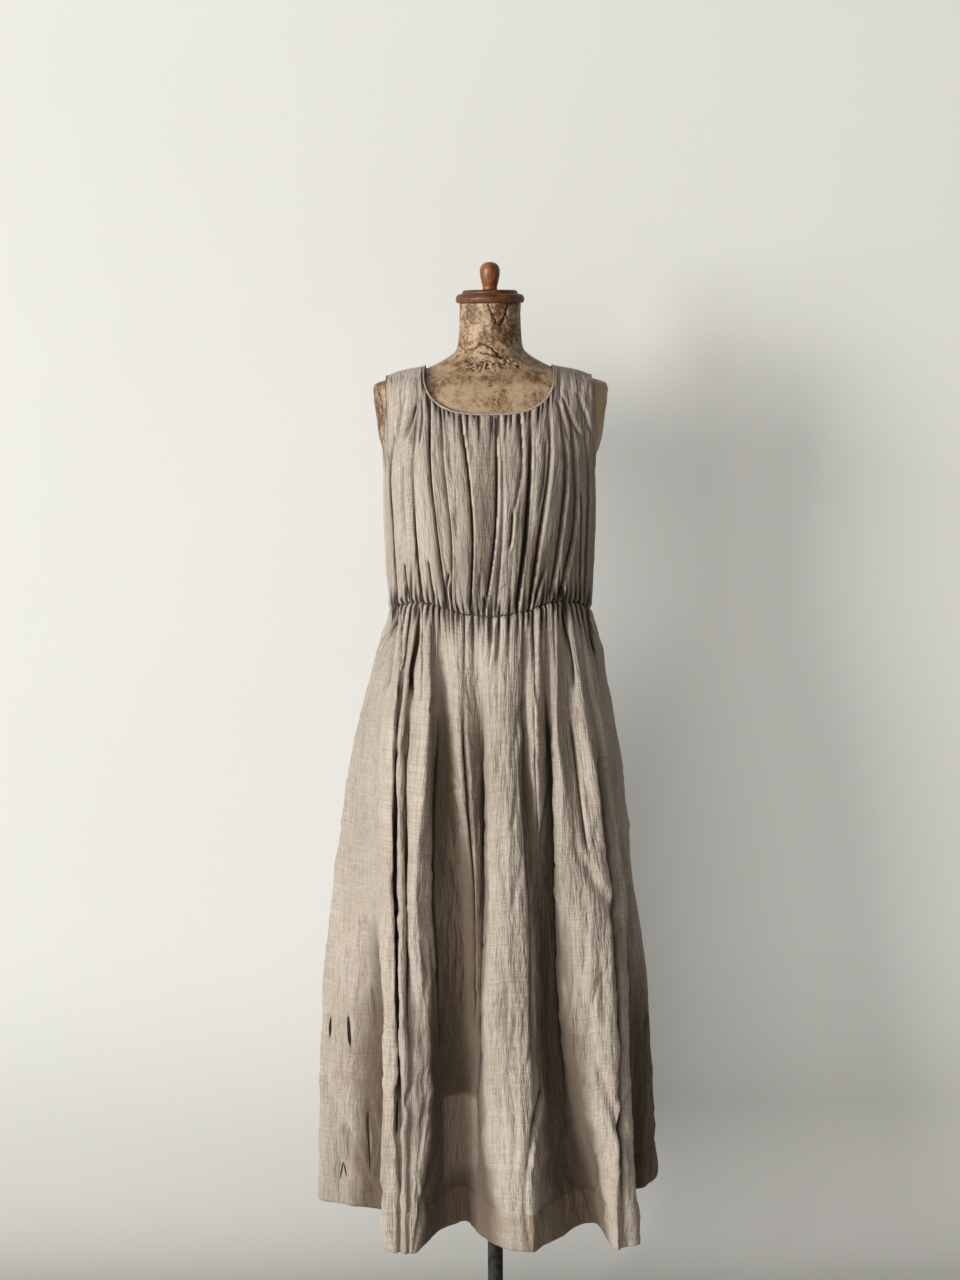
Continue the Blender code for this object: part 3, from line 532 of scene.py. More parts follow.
sweepValues = {
    "width": 9.0,
    "near": -6.0,
    "wall": 0.38,
    "bend": 0.15,
    "height": 4.2,
    "colour": (0.53, 0.53, 0.51, 1),
    # Painted light: the wall glows a little so that its shadow stays pale, less so towards the bottom.
    "glow colour": (1.0, 1.0, 0.95, 1),
    "low glow colour": (0.52, 0.51, 0.47, 1),
    "glow": 0.20,
    "low and high": (-0.12, 0.62),
}


def addSweep(values):
    # Pale floor that curves up into a wall: a profile of straight, quarter circle, straight.
    turn = np.linspace(0, np.pi / 2, 17)
    bend = values["bend"]
    y = np.concatenate([[values["near"]], values["wall"] - bend + bend * np.sin(turn), [values["wall"]]])
    z = np.concatenate([[0], bend - bend * np.cos(turn), [values["height"]]])
    x = np.array([-1, 1]) * values["width"] / 2
    points = together(x, y[:, None], z[:, None])[::-1]
    finish = Finish("pale plaster")
    where = finish.ownPlace()
    cloud = finish.noise(where, 1.3, 3.0)
    duller = tuple(0.97 * part for part in values["colour"][:3]) + (1,)
    colour = finish.mixed(cloud.spread(0.3, 0.7), duller, values["colour"])
    height = finish.part(where, "Z").spread(*values["low and high"])
    # Painted shade: the backdrop is darker towards the bottom.
    colour = finish.mixed(height, finish.mixed(0.80, (0, 0, 0, 1), colour), colour)
    # Painted light: the glow of the wall.
    glow = finish.mixed(height, values["low glow colour"], values["glow colour"])
    plaster = finish.surface(
        Base_Color=colour, Roughness=0.9, Specular_IOR_Level=0.1,
        Emission_Color=glow, Emission_Strength=values["glow"],
    )
    # Seen from behind, the wall isn't there, so the back of the dress can be looked at too.
    behind = finish.node("ShaderNodeNewGeometry", None, None, "Backfacing")
    clear = finish.node("ShaderNodeBsdfTransparent")
    seen = Signal(finish, finish.shader.outputs[0])
    both = finish.node("ShaderNodeMixShader", None, {0: behind, 1: seen, 2: clear})
    finish.put(finish.nodes["Material Output"].inputs["Surface"], both)
    gridMesh("backdrop", points, points[..., [0, 2]], plaster)


addCamera(cameraValues)
addLights(lightValues)
addSweep(sweepValues)
linen = linenFinish("undyed linen", linenLook)
paper = paperFinish("varnished paper", paperLook)
print("camera, light and backdrop are in place")


# The skirt

skirtValues = {
    "wall": 0.0008,
    "columns front": 330,
    "columns back": 280,
    "hem depth": 0.058,
    "puff height": 0.0060,
    "crease strength": 1.7,
    "crumple": 0.0032,
    "fine crumple": 0.0007,
    "hem step": 0.0009,
    "side bulge": (0.0035, 1.160, 0.020, 0.035),
    "level row": 80,
}

waistZ, hipZ, midZ, lowZ, hemZ = 1.235, 1.050, 0.800, 0.550, 0.293
hemRiseBack = 0.035
dressX = -0.0025
waistHalf, waistFront, waistBack = 0.155, 0.1182, 0.104
seamGap = 0.0003
# How far from the middle the gathers' painted shade reaches, and how strong it is on the back.
marksEnd, backMarks = 0.1525, 0.6

# Stretches of the skirt's front with painted shade or light, by x: from, how softly, to, how softly.
hemMiddle = (-0.090, 0.03, 0.185, 0.05)
paintedBacklightPatch = (-0.082, 0.006, -0.024, 0.006)
bagShadows = (((-0.100, 0.02, -0.030, 0.006), 0.859), ((0.074, 0.006, 0.110, 0.02), 0.856))

# Plan of each fold line, crest or trough, in millimetres, from the left side seam over the front: x at the
# waist, then x and y at the hip, mid, low and hem heights.
frontFolds = {
    "left seam": (-157.5, -197, 2, -238, 4, -262, 6, -269, 6),
    "left edge": (-153, -206, -35, -247, -40, -269, -50, -276, -76),
    "groove": (-144, -191, -62, -206, -88, -224, -86, -230, -92),
    "behind C": (-139, -179, -82, -184, -112, -160, -115, -154, -120),
    "crest C left": (-133, -167, -100, -163, -150, -166, -188, -168, -234),
    "crest C right": (-123, -147, -122, -150, -162, -148, -200, -150, -243),
    "slit C": (-117, -142, -104, -145, -148, -143, -190, -143, -239),
    "crest D": (-110, -135, -124, -137, -163, -136, -199, -136, -246),
    "slit D": (-104, -128, -114, -129, -152, -128, -191, -130, -243),
    "crest F": (-92, -97, -150, -117, -172, -98, -186, -123, -248),
    "trough G left": (-84, -89, -124, -84, -142, -83, -152, -88, -181),
    "trough G right": (-76, -68, -120, -46, -128, -44, -132, -46, -143),
    "crest H": (-52, -50, -152, -30, -150, -28, -148, -33, -160),
    "trough I": (-24, -18, -134, -15, -157, -20, -180, -23, -184),
    "crest J left": (-2, -3, -160, -5, -186, -11, -208, -8, -208),
    "crest J right": (23, 17, -165, 20, -196, 19, -218, 23, -238),
    "slope K": (39, 38, -158, 48, -186, 51, -216, 54, -246),
    "trough L": (48, 44, -136, 62, -162, 67, -188, 72, -226),
    "crest M": (65, 61, -154, 73, -149, 80, -161, 97, -198),
    "trough N": (81, 82, -124, 87, -140, 99, -150, 129, -158),
    "crest O": (91, 94, -146, 102, -164, 112, -178, 153, -155),
    "hollow P": (104, 114, -124, 142, -168, 145, -200, 167, -206),
    "crest Q": (111, 139, -130, 173, -154, 180, -202, 179, -241),
    "trough R": (121, 153, -96, 185, -122, 187, -184, 189, -232),
    "crest S": (129, 165, -92, 195, -118, 199, -172, 212, -224),
    "trough U": (140, 177, -58, 197, -76, 208, -64, 211, -60),
    "crest W": (147, 187, -34, 216, -36, 242, -28, 242, -38),
}
# The back's, from the right side seam on.
backFolds = {
    "right seam": (152.5, 186, 2, 217, 4, 243, 8, 261, 0),
    "trough 1": (142, 172, 52, 196, 60, 214, 62, 226, 66),
    "crest 2": (133, 162, 92, 186, 110, 210, 124, 232, 140),
    "trough 3": (119, 138, 100, 152, 112, 160, 122, 168, 136),
    "crest 4": (105, 124, 127, 144, 151, 158, 170, 176, 190),
    "trough 5": (87, 105, 124, 117, 142, 125, 157, 130, 172),
    "crest 6": (70, 80, 149, 84, 184, 88, 214, 90, 248),
    "trough 7": (51, 60, 130, 62, 142, 60, 151, 60, 162),
    "crest 8": (31, 40, 155, 36, 186, 30, 208, 26, 230),
    "trough 9": (9, 16, 147, 6, 169, -4, 188, -10, 206),
    "crest 10": (-14, -12, 157, -22, 192, -34, 224, -46, 258),
    "trough 11": (-36, -40, 132, -52, 142, -64, 150, -76, 158),
    "crest 12": (-58, -66, 151, -84, 184, -100, 210, -118, 238),
    "trough 13": (-80, -98, 129, -119, 146, -138, 159, -152, 172),
    "crest 14": (-101, -123, 128, -148, 150, -172, 168, -192, 180),
    "trough 15": (-122, -148, 92, -178, 98, -202, 102, -216, 104),
    "crest 16": (-138, -172, 84, -206, 92, -232, 98, -250, 100),
    "trough 17": (-150, -184, 44, -220, 48, -242, 50, -254, 50),
}

# Height of the waist seam against the angle round the body: 0 is the front, 90 a side and 180 the back.
waistSeam = ((0, 1.228), (20, 1.236), (38, 1.247), (62, 1.238), (90, 1.221), (180, 1.226))

# Where the gathers are drawn together along the waist, by x in millimetres.
waistSlitsFront = (
    -158, -151, -146, -141, -134, -127, -119, -112, -102, -94, -86, -78, -71, -65, -58, -50, -42, -29,
    -20, -13, -5, -1, 10, 25, 38, 46, 54, 61, 73, 80, 91, 97, 105, 109, 116, 124, 131, 139, 146, 153,
)
waistSlitsBack = (
    -158, -150, -143, -137, -128, -122, -113, -106, -97, -91, -82, -72, -66, -57, -50, -40, -31, -25,
    -15, -7, 2, 8, 19, 27, 34, 45, 51, 60, 69, 75, 86, 93, 100, 111, 117, 125, 133, 139, 147, 153,
)

# Depth, width, lift and reach in millimetres, then the crease's points (x, z).
skirtCreases = {
    "groove below left hip": (7, 5, 1.5, 14, ((-153, 1270), (-163, 1180), (-173, 1130))),
    "triangular slit": (7, 3.5, 1, 10, ((-140, 1280), (-150, 1170), (-161, 1105))),
    "slit C top": (5, 2.5, 1.5, 9, ((-136, 1270), (-137, 1160), (-138, 1095))),
    "slit D top": (5, 2.6, 1.5, 9, ((-108, 1258), (-114, 1180), (-119, 1150), (-122, 1096))),
    "edge F top": (2.5, 2.5, 1.5, 10, ((-104, 1270), (-105, 1160), (-107, 1090))),
    "trough on ridge": (4, 4, 1.0, 10, ((12, 1272), (8, 1190), (5, 1150))),
    "bright line on ridge": (1.5, 2.5, 2, 9, ((1, 1280), (-4, 1174), (-9, 1140))),
    "slit Q top": (6, 3, 1.5, 10, ((104, 1294), (110, 1203), (115, 1172), (119, 1105))),
    "slit M top": (3.5, 3, 1.2, 9, ((62, 1288), (60, 1200), (62, 1140), (66, 1090))),
    "slit right edge": (5, 3, 1.5, 9, ((138, 1284), (151, 1197), (159, 1145))),
    "slit C": (
        3, 2.2, 1.4, 9, ((-142, 1130), (-144, 1000), (-146, 860), (-144, 700), (-143, 540), (-144, 430)),
    ),
    "slit D": (2.5, 2.2, 1.4, 8, ((-124, 1130), (-128, 1000), (-130, 860), (-129, 700), (-129, 560))),
    "edge of F": (2.5, 3, 1.5, -9, ((-78, 1110), (-86, 960), (-90, 820), (-86, 700), (-84, 600))),
    "edge of H": (3, 2.5, 1.6, 9, ((-46, 1150), (-40, 1000), (-32, 860), (-30, 700), (-31, 560))),
    "edge of J": (3, 3, 1.6, 10, ((-17, 1150), (-16, 1000), (-16, 850), (-22, 650), (-25, 480), (-24, 340))),
    "line right of J": (2, 3, 1.0, -9, ((36, 1100), (44, 960), (52, 800), (54, 640), (60, 500))),
    "slit N": (3.5, 2.6, 1.6, 9, ((76, 1180), (82, 1050), (86, 900), (90, 760), (97, 600), (112, 420))),
    "line M": (2.5, 2.5, 1.2, 8, ((58, 1140), (62, 1000), (66, 880))),
    "line P": (3, 3, 1.3, 9, ((112, 1100), (128, 960), (142, 850))),
    "line Q": (3, 2.5, 1.5, -9, ((143, 1080), (163, 930), (176, 800), (180, 640))),
    "slit R": (5, 3, 1.4, 9, ((155, 1040), (171, 900), (183, 760), (187, 600), (188, 440), (189, 300))),
    "right diagonal": (2.0, 6, 3.0, 18, ((140, 872), (150, 846), (170, 798), (188, 758))),
    "upper right diagonal": (1.8, 6, 2.4, 18, ((112, 905), (130, 870), (146, 838), (160, 812))),
    "low right diagonal": (2.2, 5, 3.0, -16, ((146, 590), (168, 520), (190, 455), (212, 396))),
    "short slit right": (1.6, 3.5, 0.8, 8, ((176, 520), (179, 485), (187, 440))),
    "centre crease": (3, 4, 1.6, 12, ((70, 540), (56, 470), (44, 405), (42, 350), (54, 275))),
    "line beside centre crease": (2.5, 2.8, 1, 8, ((68, 536), (62, 500), (59, 470))),
    "left panel horizontal": (1.8, 6, 2.6, 18, ((-266, 500), (-215, 498), (-168, 492))),
    "left panel diagonal": (2.0, 6, 4.0, 20, ((-266, 504), (-245, 450), (-219, 390), (-176, 300))),
    "left panel second diagonal": (2.0, 6, 3.6, 16, ((-200, 495), (-190, 450), (-182, 415), (-170, 370))),
    "left panel slit": (3, 2.6, 1.4, 8, ((-200, 470), (-196, 420), (-195, 345))),
    "small slit": (1.0, 2.6, 1, 7, ((-245, 330), (-241, 350), (-237, 370))),
    "smaller slit": (0.8, 2.6, 1, 7, ((-236, 372), (-233, 356), (-230, 340))),
    "big slit": (1.6, 4.0, 2, 9, ((-226, 615), (-224, 580), (-221, 545))),
    "edge slit": (1.4, 4.0, 1.4, 8, ((-252, 602), (-254, 578), (-255, 557))),
    "left panel high fold": (1, 6, 1.2, 18, ((-255, 775), (-215, 782), (-166, 798))),
    "left panel second fold": (1, 6, 1.2, 18, ((-226, 745), (-200, 750), (-170, 757))),
    "front left slit": (4.5, 2.3, 1.5, 8, ((-146, 542), (-147, 505), (-147, 465))),
    "front left crease": (2.4, 4, 1.2, 10, ((-124, 548), (-136, 505), (-152, 445))),
    "front edge crease": (2.4, 4, 1.2, 10, ((-84, 452), (-106, 370), (-129, 275))),
    "pocket edge left": (1.3, 4, 1.0, 10, ((-98, 862), (-65, 861), (-32, 861))),
    "pocket diagonal": (1.6, 4, 0.8, 9, ((-90, 910), (-79, 884), (-66, 858))),
    "pocket edge right": (1.2, 4, 0.8, 9, ((70, 858), (85, 858), (101, 858))),
    "crumple 1": (1.6, 5, 1.2, 14, ((-255, 700), (-236, 660), (-228, 600))),
    "crumple 2": (1.6, 5, 1.0, 12, ((120, 700), (140, 640), (146, 560))),
    "crumple 3": (1.4, 5, 1.0, 12, ((5, 760), (18, 690), (14, 610))),
    "crumple 4": (1.8, 4, 1.2, 12, ((18, 560), (30, 480), (20, 380))),
    "crumple 5": (1.6, 4, 1.2, 12, ((130, 470), (150, 410), (146, 330))),
    "crumple 6": (1.6, 4, 1.0, 12, ((-110, 780), (-104, 700), (-112, 610))),
    "crumple 7": (1.6, 5, 1.0, 12, ((-112, 560), (-104, 500), (-116, 430))),
    "crumple 8": (1.5, 4, 1.0, 10, ((150, 760), (160, 690), (158, 600))),
    "crumple 9": (1.6, 4, 1.2, 12, ((88, 400), (104, 345), (100, 300))),
    "crumple 10": (1.6, 5, 1.2, 12, ((-240, 500), (-228, 420), (-236, 330))),
}


def foldLines():
    # Plan points of the fold lines, [height, line, xy], from the waist down.
    lines = []
    for table, depth in ((frontFolds, -waistFront), (backFolds, waistBack)):
        for row in table.values():
            waistX = row[0] * mm
            share = np.clip((waistX - dressX) / waistHalf, -1, 1)
            waist = (waistX, depth * math.sqrt(1 - share * share))
            lines.append([waist, *((row[i] * mm, row[i + 1] * mm) for i in (1, 3, 5, 7))])
    return np.transpose(np.array(lines), (1, 0, 2))


def curveThrough(points, counts):
    # Closed centripetal curve through points[row, line, xy], with counts[line] steps after each line.
    before, after, later = (np.roll(points, shift, axis=1) for shift in (1, -1, -2))

    def knot(a, b):
        return np.maximum(np.linalg.norm(b - a, axis=-1, keepdims=True), 1e-6) ** 0.5

    t1 = knot(before, points)
    t2 = t1 + knot(points, after)
    t3 = t2 + knot(after, later)
    columns = []
    for line, steps in enumerate(counts):
        p0, p1, p2, p3 = (p[:, line, None] for p in (before, points, after, later))
        k1, k2, k3 = (k[:, line, None] for k in (t1, t2, t3))
        t = k1 + (k2 - k1) * (np.arange(steps) / steps)[None, :, None]
        a1 = (k1 - t) / k1 * p0 + t / k1 * p1
        a2 = (k2 - t) / (k2 - k1) * p1 + (t - k1) / (k2 - k1) * p2
        a3 = (k3 - t) / (k3 - k2) * p2 + (t - k2) / (k3 - k2) * p3
        b1 = (k2 - t) / k2 * a1 + t / k2 * a2
        b2 = (k3 - t) / (k3 - k1) * a2 + (t - k1) / (k3 - k1) * a3
        columns.append((k2 - t) / (k2 - k1) * b1 + (t - k1) / (k2 - k1) * b2)
    return np.concatenate(columns, axis=1)


def waistSeamZ(x, y):
    # The seam rises to either side of the centre, and its gathers pull it up and down a little.
    angle = np.degrees(np.arctan2(np.abs(x - dressX) / waistHalf, -y / waistFront))
    rows = np.array(waistSeam, float)
    wave = 0.0013 * softNoise(x / 0.0085, y * 0, 3) + 0.0008 * softNoise(x / 0.0040, y * 0, 4)
    return smoothBetween(rows[:, 0], rows[:, 1], angle) + wave * easeIn(np.abs(y) / 0.01)


def columnCounts(lines, values):
    # Columns after each fold line, shared out by how far it is to the next one at the waist and hem.
    gap = np.linalg.norm(np.roll(lines, -1, axis=1) - lines, axis=-1)
    length = np.maximum(gap[0] * 1.6, gap[1:].max(axis=0)) + 0.012
    counts = np.zeros(len(length), int)
    front = len(frontFolds)
    parts = ((slice(0, front), values["columns front"]), (slice(front, None), values["columns back"]))
    for part, total in parts:
        counts[part] = np.maximum(np.round(length[part] / length[part].sum() * total), 4)
    return counts


def puffTable(slits, seed, height):
    # Each puff between two gathers gets its own height and reach. Wide ones stand higher.
    rng = np.random.default_rng(seed)
    places = np.array(slits, float) * mm
    width = np.diff(places)
    heights = height * np.clip(width / 0.008, 0.6, 1.5) * rng.uniform(0.7, 1.3, len(width))
    reaches = rng.uniform(0.025, 0.100, len(width))
    return places, heights, reaches


def seamPucker(x, side, distance, seed):
    # Stitches draw the cloth in at the seam: a narrow groove, deeper at each stitch.
    slits = np.array(waistSlitsFront if side < 0 else waistSlitsBack, float) * mm
    near = bell(distance, 0.0040)
    phase = np.interp(x, slits, np.arange(len(slits)))
    stitch = 0.5 + 0.5 * np.cos(2 * np.pi * phase)
    twice = 0.5 + 0.5 * np.cos(4 * np.pi * phase + 0.6 * softNoise(x / 0.01, distance * 0, seed + 9))
    ruffle = 0.0022 * (0.5 - twice) * bell(distance, 0.011) * easeIn(distance / 0.002)
    return ruffle - near * (0.0014 + 0.0018 * stitch + 0.0008 * softNoise(x / 0.006, distance * 0, seed))


def seamShade(x, distance, seed):
    # The seam lies in its own shadow, blotched by the gathers on either side.
    blotch = np.clip(0.16 + 1.1 * softNoise(x / 0.0035, distance / 0.003, seed), 0, 1)
    return blotch * bell(distance, 0.0034)


def offSeams(waistX):
    # The gathers' painted shade stops short of the side seams.
    return easeIn((marksEnd - np.abs(waistX - dressX)) / 0.004)


def likeCreases(seed, count, left, right, low, high, size=1.0):
    # More creases like those listed, for the sides that the dress turns away: how many, between
    # which places across and up in millimetres, and their size against those listed.
    rng = np.random.default_rng(seed)
    made = {}
    for number in range(count):
        x = rng.uniform(left, right)
        top = rng.uniform(low + 60, high)
        length = rng.uniform(50, 260) * size * (0.5 if number % 3 == 0 else 1)
        lean = rng.uniform(-0.22, 0.22) if number % 3 else rng.uniform(-0.9, 0.9)
        bottom = max(top - length, low)
        middle = (top + bottom) / 2
        bend = rng.uniform(-5, 5)
        points = ((x, top), (x - lean * (middle - top) + bend, middle), (x - lean * (bottom - top), bottom))
        depth, width = rng.uniform(1.4, 4.5) * size, rng.uniform(2.2, 5) * (0.5 + 0.5 * size)
        lift, reach = rng.uniform(0.8, 1.8), rng.choice([-1, 1]) * rng.uniform(8, 13)
        made[f"crease {number}"] = (depth, width, lift, reach, points)
    return made


def skirtSurface(values):
    lines = foldLines()
    counts = columnCounts(lines, values)
    front = int(counts[: len(frontFolds)].sum())
    # Rows from the waist down, closer together at the gathers and at the hem's stitching.
    hemTop = (waistZ - hemZ - values["hem depth"]) / (waistZ - hemZ)
    shares = np.concatenate([
        np.linspace(0, 0.012, 5, endpoint=False),
        np.linspace(0.012, 0.07, 14, endpoint=False),
        np.linspace(0.07, hemTop - 0.005, 108, endpoint=False),
        np.linspace(hemTop - 0.005, hemTop + 0.005, 6, endpoint=False),
        np.linspace(hemTop + 0.005, 1, 11),
    ])
    levelShares = (waistZ - np.array((waistZ, hipZ, midZ, lowZ, hemZ))) / (waistZ - hemZ)
    plan = curveThrough(smoothBetween(levelShares, lines, shares), counts)
    topZ = waistSeamZ(plan[0, :, 0], plan[0, :, 1])
    towardsBack = (1 + np.sin(np.arctan2(plan[-1, :, 1], np.abs(plan[-1, :, 0])))) / 2
    lowEdge = hemZ + hemRiseBack * towardsBack**2
    z = topZ + (lowEdge - topZ) * shares[:, None]
    along = np.roll(plan, -1, axis=1) - np.roll(plan, 1, axis=1)
    along /= np.linalg.norm(along, axis=-1, keepdims=True)
    outward = np.stack([along[..., 1], -along[..., 0]], axis=-1)
    x = plan[..., 0]
    waistX = np.broadcast_to(plan[0, :, 0], x.shape)
    drop = topZ - z
    steps = np.linalg.norm(np.diff(plan[values["level row"]], axis=0), axis=-1)
    arc = np.broadcast_to(np.concatenate([[0], np.cumsum(steps)]), x.shape)
    isFront = np.arange(plan.shape[1]) <= front

    relief = np.zeros_like(x)
    marks = np.zeros_like(x)
    for side, slits, seed, mask in ((-1, waistSlitsFront, 5, isFront), (1, waistSlitsBack, 6, ~isFront)):
        places, heights, reaches = puffTable(slits, seed, values["puff height"])
        atX, under = waistX[:, mask], drop[:, mask]
        own = np.zeros_like(under)
        puffs = tubes(atX, places, heights, reaches, np.maximum(under - 0.004, 0), own)
        own = np.maximum(own, seamShade(atX, under, seed + 70)) * (1 if side < 0 else backMarks)
        marks[:, mask] = own * offSeams(atX)
        relief[:, mask] += puffs * easeIn(under / 0.005)
        relief[:, mask] += seamPucker(atX, side, under, seed)
    faces = easeIn((-outward[..., 1] - 0.02) / 0.3)
    strength = values["crease strength"]
    backFaces = easeIn((outward[..., 1] - 0.05) / 0.3)
    sideFaces = easeIn((np.abs(outward[..., 0]) - 0.75) / 0.2)
    frontMarks, smallMarks, awayMarks, sideMarks = (np.zeros_like(x) for _ in range(4))
    creases = creaseRelief(x, z, skirtCreases, strength, frontMarks) * faces
    creases += creaseRelief(x, z, likeCreases(23, 110, -255, 245, 310, 1120, 0.5), 1.4, smallMarks) * faces
    frontMarks = np.where(np.abs(frontMarks) > 0.3 * np.abs(smallMarks), frontMarks, 0.3 * smallMarks)
    more = creaseRelief(x, z, likeCreases(21, 90, -260, 250, 330, 1180), strength, awayMarks) * backFaces
    sides = creaseRelief(plan[..., 1], z, likeCreases(22, 44, -150, 150, 330, 1160), 1, sideMarks) * sideFaces
    found = frontMarks * faces + 0.45 * awayMarks * backFaces + 0.4 * sideMarks * sideFaces
    marks = np.where(np.abs(found) > marks, found, marks)
    away = easeIn((drop - 0.01) / 0.03)
    relief += (creases + more + 0.8 * sides) * easeIn((drop + 0.002) / 0.02)
    relief += values["crumple"] * crumple(arc, z * 0.30 + 0.15 * arc, 0.034, 31) * away
    relief += values["crumple"] * 0.7 * crumple(arc, z, 0.050, 37) * easeIn((0.9 - z) / 0.25)
    relief += values["fine crumple"] * crumple(arc, z * 0.45, 0.013, 39) * away
    # The cloth stands out a little at the right hip.
    size, bulgeZ, halfHeight, halfDepth = values["side bulge"]
    relief += size * bell(z - bulgeZ, halfHeight) * bell(plan[..., 1], halfDepth) * (x > 0)
    # The hem is turned up and sewn: a shallow stitched line with puckers, and a fuller band under it.
    overHem = z - (lowEdge + values["hem depth"])
    step = values["hem step"]
    relief -= step * bell(overHem, 0.0025) * (1 + 0.5 * softNoise(arc / 0.012, z * 0, 41))
    relief += step * easeIn(-overHem / 0.004)
    relief += 0.0010 * softNoise(arc / 0.022, z * 0, 43) * bell(overHem, 0.02)
    plan = plan + outward * relief[..., None]
    z = z + 0.0012 * softNoise(arc / 0.05, z * 0, 47) * easeIn(drop / 0.6)
    points = np.concatenate([plan, z[..., None]], axis=-1)

    # How far the cloth lies behind the folds beside it, painted as shade in its colour.
    reach = np.hypot(plan[..., 0] * 0.75, plan[..., 1])
    nearby = np.max([np.roll(reach, shift, axis=1) for shift in range(-26, 27, 2)], axis=0)
    sunken = easeIn((nearby - reach - 0.004) / 0.045) * easeIn(drop / 0.15)
    # Painted shade where the cloth is double, most of all in the hem where it faces away from the window. The
    # pocket bags show through as faint painted shadows, and low in the left trough painted light where single
    # cloth lets light through.
    shaded = easeIn((outward[..., 0] + 0.35) / 0.6)
    middle = within(x, *hemMiddle) * faces
    layers = easeIn(-overHem / 0.003) * (0.14 + (0.26 + 0.50 * shaded) * middle)
    for stretch, lowEnd in bagShadows:
        layers = layers + 0.12 * within(x, *stretch) * easeIn((z - lowEnd) / 0.004) * faces
    paintedBacklight = within(x, *paintedBacklightPatch) * easeIn((0.500 + 0.05 * (x + 0.06) - z) / 0.006)
    paintedBacklight = paintedBacklight * easeIn((z - 0.340) / 0.06) * faces
    # Painted shade on the right rear part, which is turned away from the window.
    turned = easeIn((x - 0.185) / 0.010) * easeIn((plan[..., 1] + 0.10) / 0.04) * easeIn((0.80 - z) / 0.30)
    sunken = np.maximum(sunken, 0.9 * turned * isFront)
    # The left panel is folded slantwise below a level crease, and painted shade darkens its faces in turn.
    firstFold, secondFold = -0.264 + 0.437 * (0.500 - z), -0.1986 + 0.249 * (0.489 - z)
    slanted = easeIn((0.502 - z) / 0.006) * easeIn((-0.158 - x) / 0.006) * isFront
    faced = 0.30 * easeIn((firstFold - x) / 0.004) + 0.34 * easeIn((x - secondFold) / 0.004)
    sunken = np.maximum(sunken, slanted * faced)
    sunken = sunken * (1 - 0.12 * paintedBacklight)
    return points, front, {"layers": layers - 0.6 * paintedBacklight, "crease": marks, "sunken": sunken}


skirtPoints, skirtSeam, skirtMarks = skirtSurface(skirtValues)


def addSkirt(values):
    made = []
    total = skirtPoints.shape[1]
    for name, columns in (
        ("skirt_front_cloth", np.arange(skirtSeam + 1)),
        ("skirt_back_cloth", np.arange(skirtSeam, total + 1) % total),
    ):
        points = skirtPoints[:, columns]
        marks = {mark: grid[:, columns] for mark, grid in skirtMarks.items()}
        piece = gridMesh(name, points, flatPlaces(points, values["level row"]), linen, marks)
        made.append(thicken(piece, values["wall"]))
    return made


skirtFront, skirtBack = addSkirt(skirtValues)
print("the skirt hangs", clothArea(skirtFront), clothArea(skirtBack))


# The bodice

bodiceValues = {
    "wall": 0.0008,
    "columns front": 380,
    "columns back": 280,
    "rows": 124,
    "puff height": 0.0036,
    "neck puff height": 0.0044,
    "fold strength": 1.75,
    "crumple": 0.0012,
}

neckAngle, shoulderAngle = 48.0, 64.5
neckHalf, shoulderHalf, shoulderZ = 0.0985, 0.153, 1.5785
neckLowFront, neckLowBack, neckRoundness = 1.5225, 1.5660, 2.8
armholeLowZ = 1.442

# Sections of the dress from waist to shoulder: height, half width, front depth, back depth, squareness.
dressRings = (
    (1.215, 0.1550, 0.1180, 0.1040, 2.00),
    (1.235, 0.1552, 0.1185, 0.1040, 2.00),
    (1.300, 0.1590, 0.1270, 0.1060, 2.00),
    (1.375, 0.1612, 0.1310, 0.1080, 2.10),
    (1.420, 0.1606, 0.1280, 0.1090, 2.20),
    (1.442, 0.1600, 0.1245, 0.1090, 2.30),
    (1.455, 0.1615, 0.1220, 0.1095, 2.40),
    (1.466, 0.1680, 0.1190, 0.1110, 2.45),
    (1.482, 0.1740, 0.1140, 0.1100, 2.50),
    (1.510, 0.1780, 0.1000, 0.1045, 2.60),
    (1.530, 0.1805, 0.0915, 0.0985, 2.60),
    (1.550, 0.1830, 0.0845, 0.0925, 2.60),
    (1.563, 0.1840, 0.0810, 0.0885, 2.50),
    (1.570, 0.1765, 0.0790, 0.0860, 2.40),
    (1.5785, 0.1530, 0.0735, 0.0790, 2.20),
    (1.584, 0.1387, 0.0710, 0.0760, 2.10),
    (1.588, 0.1237, 0.0685, 0.0730, 2.00),
    (1.5905, 0.1090, 0.0665, 0.0705, 2.00),
    (1.5924, 0.0985, 0.0650, 0.0690, 2.00),
    (1.5942, 0.0935, 0.0640, 0.0675, 2.00),
    (1.600, 0.0800, 0.0620, 0.0640, 2.00),
)

# Half width of the dress at the armhole's edge, by height.
armholeEdge = (
    (armholeLowZ, 0.1600),
    (1.475, 0.1570),
    (1.505, 0.1555),
    (1.550, 0.1516),
    (shoulderZ, shoulderHalf),
)

